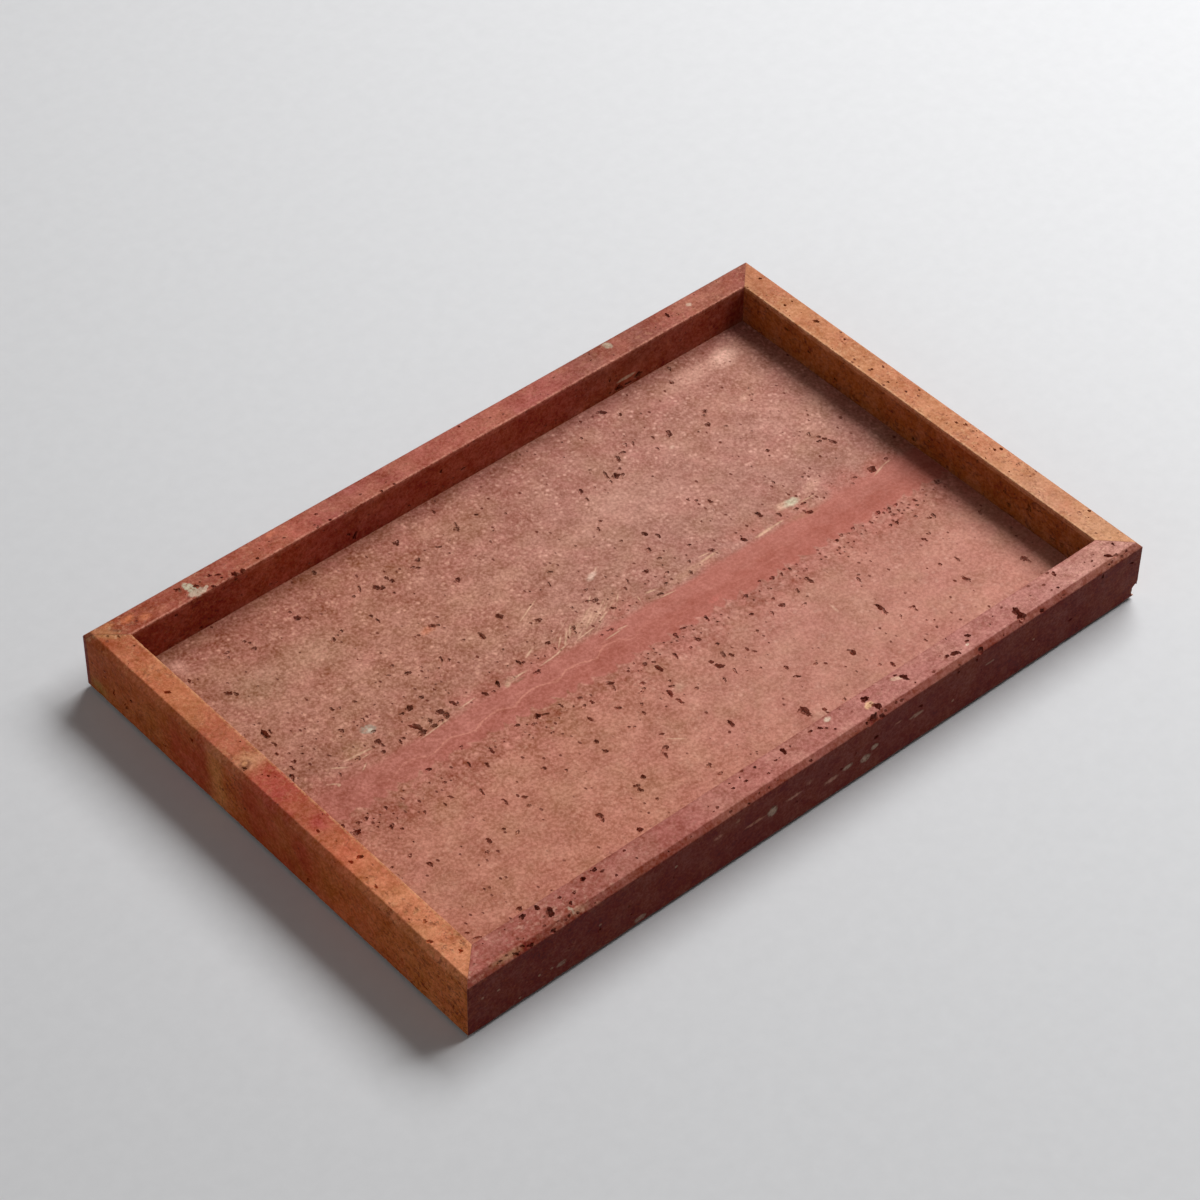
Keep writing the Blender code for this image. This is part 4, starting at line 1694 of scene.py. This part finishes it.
    (108.5, -53.5, 2.4, 0.7, 75), (103.9, -62.2, 3.4, 1, 98), (126.4, -68.2, 2.3, 1.7, -30),
    (126.6, -70, 1.8, 0.9, 90), (72.3, -74.5, 1.4, 0.7, 80), (131.5, -42, 1.7, 1.1, 60),
)

VEIN_STROKES = (
    (-106, 8.7, 15, 0.8, -6), (-114.7, 8.2, 7, 0.6, -36), (-120.8, 3.8, 5, 0.6, -36),
    (-119.4, 2.2, 1.6, 1.3, 0), (-108, 3.2, 5, 0.5, 30), (-104.5, 6.7, 4, 0.4, 0), (-79.5, 1.5, 17, 0.5, 6),
    (-64, 3.5, 9, 0.5, 3), (-48.5, 1.2, 3.4, 1.5, 25), (-43, 2.3, 9, 0.7, 0), (-33.5, 8, 6, 0.7, 22),
    (-30, 1.2, 12, 0.5, 4), (-22, 5.5, 8, 0.6, 42), (-19.5, 5.2, 9, 0.6, 44), (-16, 7.2, 7, 0.7, 48),
    (-24, 2.2, 9, 0.5, 12), (-12.5, 2.6, 10, 0.5, 6), (-8, 6.5, 10, 0.6, 35), (-3, 5, 8, 0.6, 20),
    (-6, -3.9, 9, 0.5, 2), (-1.5, -3.3, 5, 0.5, -8), (6.5, 8.5, 4.5, 0.5, 42), (12, 3.5, 3.5, 0.4, 75),
    (17.5, 3.6, 6, 0.8, -10), (20.5, -1.2, 8, 0.5, -8), (43.5, 3.2, 12, 0.9, 3), (43.5, 5, 6, 0.5, -8),
    (67.5, -0.2, 12, 1.1, 2), (74, 0, 6, 0.6, 0), (90, 2.6, 9, 0.5, -2), (119.5, -3.2, 8, 0.7, 18),
    (124.5, -2, 5, 0.5, 4), (-20.5, 23.8, 14, 0.5, 23), (-1, 14.3, 4, 0.5, 40), (-22.5, -53.5, 8, 0.4, -42),
)

FACE_SPECKS = (
    (-144, 15), (-137.6, 14), (-129, 3.5), (-121, 8), (-116, 7.5), (-96, 13), (-64, 17), (60, 9), (98, 13),
)

FRONT_PORES = {
    Face.TOP: pits(
        (-112, 5.5, 3.5, 2.5, 70), (-113.5, 10, 2.5, 1.5, 90), (-119.5, 10, 3, 1.6, 20),
        (-104.5, 4.5, 1.6, 1.1, 60), (-105.5, 8.5, 1.3, 1), (-101, 7, 1.4, 1), (-95, 9.5, 2, 1.4),
        (-90, 10, 2, 1.3), (-88.5, 8, 1.5, 1), (-77.5, 10, 1.3, 0.9), (-86, 4, 1.2, 0.9),
        (-33.3, 7.3, 1.4, 1), (-28, 7, 1.2, 0.9), (-22, 9.5, 1.3, 1), (-10, 9, 2.6, 1.7, 90),
        (-14.7, 7.4, 1.3, 0.7), (-20.6, 4.8, 1.1, 0.7), (2.6, 9.5, 1.8, 0.9, 10), (6, 8.6, 1.7, 1.1, -40),
        (7.6, 7.2, 1.2, 0.8, -40), (9.4, 5, 1.3, 0.8), (130, 5.2, 1.2, 0.7), (26, 8.5, 3, 2, 10),
        (27, 3.5, 3, 2.2, 80), (43, 7, 3, 2, 90), (41, 9.8, 1.3, 0.9), (60.6, 5, 1.8, 1.2),
        (63.4, 4.2, 3.6, 1.7, -15), (70.4, 5.7, 1.6, 1.1), (72.6, 7.4, 1.7, 1.4), (93, 4.4, 4.4, 2.3, 80),
        (115.5, 9, 2, 1.2, 90), (112, 3.7, 1.2, 0.9), (136.2, 3.3, 3.2, 1.4, -50), (141.5, 6.4, 1.6, 1, 60),
    ),
    Face.OUTER: pits(
        (24, 16, 2, 1.4, 30), (44.5, 16.8, 2.2, 1, -35), (61.5, 21.5, 1.6, 1.1), (70, 21.5, 1.6, 0.9, -60),
        (130.5, 22, 1.8, 1.1, 80), (145.5, 19, 2, 0.9, -30), (116, 10.5, 2.2, 0.9), (-96, 11, 1.6, 1, 60),
        (-22, 14.8, 2, 1, 10), (8.5, 11.5, 1.3, 0.9),
    ),
}
FRONT_NICKS = pits(
    (-124, 0.6, 2, 1.2), (-115, 0.7, 2.4, 1.4), (-33, 0.2, 1.5, 0.9), (-5.5, 1, 1.6, 1),
    (22.5, 1.2, 5, 2.2, 25), (26.2, 0.4, 2.2, 1.6), (72, 0.8, 3, 1.8, 20), (93, 2.4, 3.2, 2.2, 10),
    (101, 0.6, 2.2, 1.4), (138, 2.6, 2.4, 1), (-136, 1.6, 1.8, 0.9, 20), (-133, 2.2, 1.4, 0.8),
    (-130, 1, 2, 1, -20), (-127, 2, 1.6, 0.8), (134, 1.2, 1.6, 0.8), (143, 1.8, 1.8, 0.9, 30),
    (-108, 1.8, 1.6, 0.9, 40),
)

BACK_PORES = {
    Face.TOP: pits(
        (-114.5, 4.5, 1.8, 1.2, 30), (-108.5, 7, 1.8, 1.2), (-104, 11, 1.6, 1.2), (-102, 6, 1.6, 1, 50),
        (-99.5, 7.5, 1.5, 1), (-95, 10.8, 2.2, 1.8), (-92, 11.2, 2, 1.5, 30), (-84.5, 10, 1.5, 1),
        (-54, 11, 1.4, 1), (-56, 5.5, 1.2, 0.9), (-31.5, 11.2, 1.4, 1), (-26, 11.2, 1.2, 0.9),
        (10, 2.8, 1.2, 0.9), (106, 5.5, 2.5, 1.3, 90),
    ),
    Face.INNER: pits(
        (-5.5, 19.8, 2, 1.3, 70), (-47, 15.3, 1.6, 1.1, -40), (-44.3, 12.6, 3, 1.6, 80),
        (-20, 12.3, 1.5, 0.9, -40), (-110.5, 11, 1.6, 1), (-120, 22.8, 1.6, 1.1), (77, 11.6, 3.4, 2.2, 10),
        (86.6, 12.4, 4, 2.6, 20), (82, 11, 3.2, 1.3), (4.5, 15.2, 3, 1.1), (-95, 24, 1.5, 1),
        (73, 17.5, 1.8, 1, 60),
    ),
}
BACK_NICKS = pits((-115, 0.8, 2.0, 1.2), (-97, 0.9, 2.0, 1.2), (-86, 0.9, 1.6, 1.0), (40, 0.8, 1.6, 1.0))

MITRE_LUMPS = (
    (-148.8, 98.6, 1.4), (-148.6, 95.6, 2.2), (-146, 98, 1.8), (-144.8, 93.2, 1.5), (-142.2, 95.4, 2.4),
    (-143.2, 90.6, 2.1), (-140.4, 91.9, 1.6), (-140, 89.4, 1.2),
)

LEFT_PORES = {
    Face.TOP: pits(
        (-38, 4.5, 1.6, 1.1), (-38, 8, 2.5, 1.4, 70), (-51, 4, 1.5, 1), (-21, 4.5, 1.4, 1),
        (15.6, 3.4, 1.8, 0.9, 30), (59, 5, 2.5, 1.2, 45), (-79, 2.6, 2.2, 1.2, 20), (-72, 6.5, 1.6, 1, 60),
        (-88, 7.5, 1.8, 1, 30), (90, 7.8, 1.3, 0.7, 45), (92.8, 5.2, 1.2, 0.7, 45), (97, 1.8, 1.8, 0.8, 45),
        (95.2, 4, 1.4, 0.7, 45), (91.4, 8.6, 1.6, 0.7, 45), (89.6, 10.6, 1.2, 0.6, 45),
    ),
    Face.OUTER: pits(
        (39.5, 22, 2, 1.3, 60), (-20.5, 5.5, 2, 1.2, 70), (84, 9, 3.2, 1, 80), (77, 7.5, 2.6, 1.2, 50),
        (-86, 17.5, 1.6, 1, 40), (-80, 6, 1.4, 0.9), (56, 6, 1.6, 1), (-68, 9, 2.2, 1.1, 70),
        (74, 13, 1.6, 1, 50),
    ),
}

RIGHT_PORES = {
    Face.TOP: pits(
        (-35, 3, 1.6, 1.1), (-33.7, 5, 1.5, 1), (-77, 2.6, 1.4, 1), (-18, 3.5, 1.4, 1), (-15, 5.2, 1.4, 1),
        (57, 5, 2.5, 1.4, 30), (71, 7.5, 1.5, 1), (25, 8, 1.2, 0.9), (88, 4, 1.4, 1, 40),
    ),
    Face.INNER: pits(
        (39, 13.8, 1.6, 1.2, 20), (53, 17.6, 1.8, 1.1), (-1.5, 12.5, 2.6, 1.6, 20),
        (-48.5, 13.8, 2.6, 1.2, -40), (-58, 19.3, 3.4, 1.5, -70), (-70, 12.8, 3, 1.4, 10),
        (-74.5, 13.5, 2, 1.2, 80), (17, 14, 1.6, 1), (76, 23.5, 1.4, 1), (65, 20.5, 2, 1),
        (-46, 18.5, 1.5, 1),
    ),
}


def level_lenses(thickness: float, height: float, *rows: tuple) -> tuple[Lens, ...]:
    """Makes lenses in a level face of rows of x, y, length, width, tone and what else a lens takes."""
    return tuple(Lens((x, y, height), (long, wide, thickness), *rest) for x, y, long, wide, *rest in rows)


def front_lenses(*rows: tuple) -> tuple[Lens, ...]:
    """Makes lenses in the front rail's outer face of rows of x, z, length, height, tone and the rest."""
    return tuple(Lens((x, -HALF_Y, z), (length, 2, high), *rest) for x, z, length, high, *rest in rows)


def mitre_lumps(first: int, tone: Tone) -> tuple[Lens, ...]:
    """Makes every second lump along the back left mitre, from the first one on, in one tone."""
    rows = ((x, y, size, 0.6 * size, tone, 20 * size, 0.75, 0.9) for x, y, size in MITRE_LUMPS[first::2])
    return level_lenses(2, RIM, *rows)


FLOOR_LENSES = level_lenses(
    3, FLOOR_TOP, (-96.8, 15.6, 5.6, 4.2, (160, 136, 118), -15, 0.95),
    (-96.3, 15, 2.2, 1.4, (206, 190, 168), 0, 0.9, 0.8), (80.5, 5.6, 8, 4.6, (220, 172, 146), 8, 0.8, 1),
    (84.6, 4.8, 8.6, 4.6, (210, 194, 166), 5, 1, 0.8), (-46.5, 2.4, 9, 4, (200, 154, 128), 0, 0.6, 1),
    (-44, 0.4, 5, 1.4, (140, 98, 70), 0, 0.6, 0.9), (42, 42, 44, 30, (204, 154, 134), 0, 0.35, 1),
    (112, 12, 44, 22, (150, 98, 84), 0, 0.3, 1), (114, -9, 56, 22, (156, 90, 76), 0, 0.35, 1),
    (112, -31, 52, 22, (156, 96, 80), 0, 0.3, 1), (96, 6.5, 13, 6, (208, 156, 134), 15, 0.6, 1),
    (-8, 7.5, 26, 8, (206, 156, 130), 12, 0.6, 1), (35, 2, 36, 5, (202, 150, 124), 2, 0.55, 1),
    (-106, 11, 14, 9, (184, 138, 104), 0, 0.5, 1), (83, -2.5, 16, 4, (172, 118, 92), -10, 0.6, 1),
    (-5.5, -36.5, 7, 5, (206, 156, 132), 25, 0.7, 1), (59.6, -43, 6, 1.2, (212, 164, 140), 88, 0.8, 0.9),
    (6.6, 22.3, 6.4, 3.2, (228, 188, 168), 15, 1, 0.9), (10, 24, 4, 1, (212, 166, 142), 40, 0.8, 0.9),
    (-52.5, 38.6, 8, 4.6, (216, 138, 108), 0, 0.8, 1), (-44, 26.3, 3.4, 2, (204, 150, 126), 0, 0.8, 1),
    (119, 78, 18, 12, (228, 180, 160), 18, 0.8, 1), (103, 78, 34, 12, (214, 162, 142), 3, 0.65, 1),
    (109, 56, 7, 4, (210, 162, 138), 30, 0.5, 1), (-127, 80, 8, 16, (206, 150, 130), 20, 0.6, 1),
    (-112, 55, 30, 26, (178, 132, 106), 0, 0.55, 1), (-88, 55, 40, 22, (188, 140, 112), 0, 0.5, 1),
    (72, 53.5, 2.4, 2.4, (216, 172, 150), 0, 0.8, 1), (-109.5, -18.5, 4, 7, (158, 112, 84), 0, 0.7, 1),
    (-50.2, -23.5, 2.4, 1.6, (186, 142, 112), 60, 0.6, 0.9), (-5, -25, 16, 9, (176, 122, 94), 0, 0.5, 1),
    (21.5, -76.5, 10, 8, (196, 144, 122), 0, 0.6, 1), (31.5, -13.5, 8, 3, (194, 106, 92), 0, 0.8, 1),
)


def floor_finish() -> Travertine:
    """The slab's stone: salmon in front of the vein, brown and mottled behind it."""
    return VeinedTravertine(
        "floor travertine",
        beds=(
            (-90, 191, 125, 107), (-40, 187, 124, 106), (-26, 182, 118, 100), (-20, 182, 119, 103),
            (8, 168, 114, 98), (40, 178, 123, 107), (60, 168, 112, 96), (90, 160, 101, 87),
        ),
        along_x=False, crumbs=((-90, 0.4), (-20, 0.5), (12, 0.9), (90, 0.9)), cream=(216, 162, 144),
        cream_amount=0.2, rust_amount=0.22, crystal_amount=0.85, tan_amount=0.35, rose_amount=0.3,
        mottle_size=13, mottling=1.2, grain=0.29, strokes=VEIN_STROKES, seed=1, lenses=FLOOR_LENSES,
    )


FRONT_LENSES = (
    *front_lenses(*((x, z, 1.2, 1, (206, 166, 140), 0, 0.7) for x, z in FACE_SPECKS)),
    Lens((-133, -98.6, 25), (16, 3.6, 3), (204, 146, 112), 0, 0.8, 1),
    Lens((-104, -98.6, 25), (9, 3.2, 3), (206, 150, 122), 0, 0.8, 1),
    Lens((136, -98.6, 25), (24, 3.6, 3), (192, 128, 110), 0, 0.6, 1),
    Lens((131, -HALF_Y, 19), (4, 2, 6), (110, 46, 34), 0, 0.8, 1),
    Lens((149, -99, 3.4), (5, 5, 6), (220, 176, 150), 0, 0.8, 0.8),
    *level_lenses(
        2, RIM, (10.4, -90.2, 3.2, 2.6, CALCITE, 20, 0.95, 0.8),
        (25.2, -94.4, 4.4, 2.6, (226, 176, 134), 20, 0.9),
    ),
    Lens((-106, -97, 25), (2, 4, 2), CALCITE, 0, 0.7),
    *level_lenses(2, RIM, (69.5, -95.5, 1.6, 1, CALCITE), (40.6, -91.6, 5, 2, (214, 172, 146), -25, 0.8)),
    *front_lenses(
        (-46, 17.6, 5, 2, (206, 140, 118), 0, 0.7, 0.9),
        (-37.6, 19.4, 2.6, 1.8, (196, 140, 114), 0, 0.8, 0.9), (-22.3, 13, 5, 4.6, GREY_CALCITE, 0, 1, 0.7),
        (-30, 13.2, 11, 1.6, (214, 150, 126), 0, 0.9, 0.8),
        (-13, 13.4, 8, 1.6, (214, 152, 130), 0, 0.9, 0.8), (-6, 15.4, 4, 2.6, (196, 132, 112), 0, 0.6, 1),
        (4, 9.4, 7, 2.4, (216, 156, 134), 0, 1, 0.8), (11.5, 10.4, 5, 2.4, GREY_CALCITE, 0, 0.95, 0.8),
        (19.6, 8.9, 5, 3.4, GREY_CALCITE, 0, 1, 0.7), (23.6, 11.8, 4, 2.6, GREY_CALCITE, 0, 1, 0.8),
        (34, 16, 3.4, 1.2, (206, 142, 120), 0, 0.8, 0.9), (42.5, 13.9, 8, 2, (200, 158, 136), 0, 0.9, 0.8),
        (-79, 3.5, 5, 2.4, GREY_CALCITE, 0, 0.6), (-112, 6.8, 4.5, 2, GREY_CALCITE, 0, 0.5),
        (77, 16, 5, 1, GREY_CALCITE, 0, 0.4),
    ),
)


def front_finish() -> Travertine:
    """The front rail's stone: rose crimson at the left, paler pink to the right."""
    return Travertine(
        "front rail travertine",
        beds=(
            (-150, 167, 85, 71), (-105, 157, 83, 68), (-70, 161, 83, 71), (-35, 181, 108, 95),
            (40, 180, 112, 101), (75, 186, 121, 110), (150, 192, 134, 122),
        ),
        face_beds=((-150, 152, 70, 50), (150, 148, 72, 55)), along_x=True,
        crumbs=((-150, 1), (-118, 0.9), (-80, 0.6), (-60, 0.3), (40, 0.4), (120, 0.7), (150, 1)),
        cream=(208, 156, 134), rust=(130, 66, 50), rose=(160, 84, 74),
        # The arris tone is darker than this stone and paints a thin shade line along the inner top arris.
        tan=(182, 122, 102), worm_amount=0.5, painted_arris_tone=(150, 84, 72),
        # The face tint paints shade on the bevel and upright faces, partly their own sawn colour.
        face_tint_and_shade=(202, 145, 116), bevel_share=0.46, seed=13, lenses=FRONT_LENSES,
    )


BACK_LENSES = (
    *level_lenses(
        3, RIM, (-110.4, 92.8, 3.4, 8, GREEN_CALCITE, 8, 0.95),
        (-109.8, 90.2, 6.5, 3.6, (200, 172, 150), 0, 0.9),
    ),
    *level_lenses(2, RIM, (-106.8, 89.6, 4, 1.6, CALCITE, 30, 0.7)),
    *level_lenses(
        3, RIM, (-113.6, 94.5, 1.6, 3, (110, 66, 44), -30, 0.8, 0.9),
        (-135, 95, 7, 4.6, (216, 124, 82), 20, 0.95, 1), (-142, 96.5, 6, 4, (196, 124, 80), 0, 0.8, 1),
        (-130, 92, 6, 5, (208, 120, 82), 0, 0.9, 1), (-123, 91.5, 6, 4, (196, 118, 92), 0, 0.7, 1),
        (-74, 96.5, 5, 3, (208, 116, 84), 0, 0.7, 1),
    ),
    *level_lenses(2, RIM, (78.5, 96, 3, 4, GREEN_CALCITE, 30, 0.6), (116, 94, 2.5, 2, CALCITE, 0, 0.5)),
    Lens((81, 88.3, 14.4), (9, 2, 1.6), GREEN_CALCITE, 0, 0.6),
    *level_lenses(
        3, RIM, (-144.5, 95, 14, 4, (182, 118, 76), -43, 0.9, 1),
        (-141, 93, 7, 1.4, (118, 66, 38), -43, 0.8, 0.9),
    ),
    *mitre_lumps(0, (204, 148, 110)), Lens((-HALF_X, 99.5, 14), (3, 3, 26), (120, 44, 42), 0, 0.9, 0.6),
)


def back_finish() -> Travertine:
    """The back rail's stone: brick red, with orange and tan lumps near its left end."""
    return Travertine(
        "back rail travertine",
        beds=(
            (-150, 154, 80, 45), (-132, 152, 67, 39), (-105, 152, 73, 53), (-75, 175, 87, 67),
            (-45, 153, 71, 61), (0, 166, 86, 70), (45, 163, 83, 73), (75, 138, 78, 61), (105, 147, 78, 64),
            (150, 117, 53, 42),
        ),
        along_x=True, crumbs=((-150, 1), (-136, 0.9), (-90, 0.6), (-40, 0.35), (60, 0.4), (150, 0.7)),
        cream=(198, 140, 108), rust=(108, 46, 30), rose=(162, 78, 62),
        # The face tint paints shade on the bevel and upright faces, partly their own sawn colour.
        tan=(176, 108, 80), worm_amount=0.5, face_tint_and_shade=(230, 190, 160),
        # The arris tone paints a thin highlight along the inner top arris.
        painted_arris_tone=(206, 138, 116), pallor=0.12, grain=0.24, seed=29, lenses=BACK_LENSES,
    )


LEFT_LENSES = (
    *level_lenses(
        3, RIM, (-144.5, 92.8, 15, 4.2, (182, 122, 78), -43, 0.95, 0.9),
        (-142, 91.4, 7, 1.2, (120, 70, 38), -43, 0.8, 0.9),
    ),
    Lens((-HALF_X, 97.6, 24.4), (3, 4.6, 2.6), (206, 150, 112), 0, 0.9, 0.9),
    *mitre_lumps(1, (206, 152, 112)),
    *level_lenses(
        3, RIM, (-143.5, 18, 11, 10, (204, 140, 100), 0, 0.8, 1),
        (-145.6, 16.6, 6, 4.6, (118, 60, 28), 20, 0.9, 0.8),
        (-145.4, 17.2, 3, 2, (196, 132, 88), 20, 0.9, 0.8),
    ),
    Lens((-HALF_X, 93, 5), (3, 12, 8), (178, 132, 66), 0, 0.7, 1),
)


def left_finish() -> Travertine:
    """The left rail's stone: peach and tan at its front, brick red in its middle, orange behind."""
    return Travertine(
        "left rail travertine",
        beds=(
            (-100, 220, 141, 98), (-68, 215, 130, 91), (-38, 208, 108, 74), (-12, 161, 54, 43),
            (10, 175, 74, 54), (17, 186, 118, 84), (24, 180, 98, 68), (36, 178, 90, 62), (60, 195, 109, 72),
            (100, 170, 87, 54),
        ),
        face_beds=(
            (-100, 206, 132, 92), (-66, 206, 126, 86), (-38, 208, 114, 76), (-14, 178, 74, 50),
            (10, 178, 78, 52), (19, 202, 116, 80), (27, 220, 156, 114), (36, 180, 82, 58), (48, 182, 78, 54),
            (56, 190, 104, 68), (80, 188, 106, 66), (100, 180, 98, 58),
        ),
        along_x=False,
        crumbs=(
            (-100, 1), (-60, 0.8), (-50, 0.5), (-36, 0.5), (-20, 0.3), (10, 0.3), (18, 0.9), (32, 0.4),
            (50, 0.4), (58, 0.6), (100, 0.5),
        ),
        cream=(212, 152, 106), rust=(116, 58, 30), rose=(180, 86, 56),
        tan=(192, 126, 78), rust_amount=0.45, worm_amount=0.8, worm_on_top=0.2, pallor=0.12,
        # The face tint paints shade on the bevel and upright faces, partly their own sawn colour, and the
        # inner tint paints shade on the inner face where the key light falls.
        pore_share=0.07, mottling=1.2, grain=0.24, face_tint_and_shade=(255, 222, 172),
        inner_face_shade=(206, 228, 246), seed=37, lenses=LEFT_LENSES,
    )


def right_finish() -> Travertine:
    """The right rail's stone: peach tan, more orange to the back."""
    return Travertine(
        "right rail travertine",
        beds=(
            (-100, 205, 149, 110), (-60, 193, 132, 99), (-20, 190, 122, 85), (20, 184, 116, 77),
            (60, 181, 114, 75), (100, 150, 85, 56),
        ),
        face_beds=((-100, 210, 150, 108), (-20, 214, 146, 104), (60, 222, 156, 108), (100, 198, 118, 78)),
        along_x=False, crumbs=((-100, 0.75), (100, 0.55)), cream=(222, 170, 128),
        rust=(104, 46, 20), rose=(194, 112, 80), tan=(204, 142, 98), worm_amount=1,
        # The face tint paints shade on the bevel and upright faces, partly their own sawn colour.
        worm_on_top=0.12, pallor=0.17, mottling=0.95, grain=0.15, face_tint_and_shade=(186, 150, 98), seed=43,
    )


USUAL_PITS = ((Face.TOP, 8, (2.6, 11.2), 18, 1.2), (Face.OUTER, 5, (2.5, 23), 20, 1.4),
              (Face.INNER, 14, (10.5, 25), 16, 1.2), (Face.BEVEL, 5, (0.4, 2.4), 9, 1.2),
              (Face.UNDER, 10, (1.5, 10.5), 24, 1.8))


def strewn_faces(half: float, share: float) -> dict[Face, Scatter]:
    """The small pits that each face of a rail gets at random, by half its length in millimetres."""
    return {face: Scatter((margin - half, half - margin), across, int(count * share), longest)
            for face, margin, across, count, longest in USUAL_PITS}


def build_tray() -> None:
    """Builds every piece of the tray."""
    lining = PitLining().material
    glue = JointResin().material
    filler = JointResin("crumbly filler", (172, 116, 76), (208, 154, 112), 0.2).material
    rubber = PadRubber().material
    ring = RailFrame()
    bands = (((-134, 134), (3, 86), 42, 0.9), ((-134, 134), (-86, -24), 26, 0.9),
             ((-60, 134), (-23, -17), 46, 0.9, -0.021), ((-134, -60), (-22, -12), 14, 0.8),
             ((-100, 40), (1, 12), 26, 0.9), ((-130, -60), (14, 34), 16, 1))
    strewn = tuple(Scatter(*band) for band in bands)
    slab = FloorSlab(floor_finish(), lining, FLOOR_PORES, strewn, Scatter((-134, 134), (-84, 84), 70, 2.6))
    slab.build()
    for number, (side, finish, pores, nicks, fullness) in enumerate((
        (Side.FRONT, front_finish(), FRONT_PORES, FRONT_NICKS, 1),
        (Side.RIGHT, right_finish(), RIGHT_PORES, (), 1.6),
        (Side.BACK, back_finish(), BACK_PORES, BACK_NICKS, 1),
        (Side.LEFT, left_finish(), LEFT_PORES, (), 0.6),
    )):
        small = strewn_faces(PLAN.half_run(side) / MM, fullness)
        Rail(side, ring, finish, lining, pores, small, nicks, seed=107 + 7 * number).build()
    for corner in Corner:
        MitreGlue(corner, ring, filler if corner is Corner.BACK_LEFT else glue).build()
        Pad(corner, rubber).build()
    for side in Side:
        FloorGlue(side, slab.joint, glue).build()


def main() -> None:
    """Builds the studio and the tray."""
    logging.basicConfig(level=logging.INFO, format="%(message)s")
    Studio().build()
    build_tray()
    bpy.context.view_layer.update()


if __name__ == "__main__":
    main()
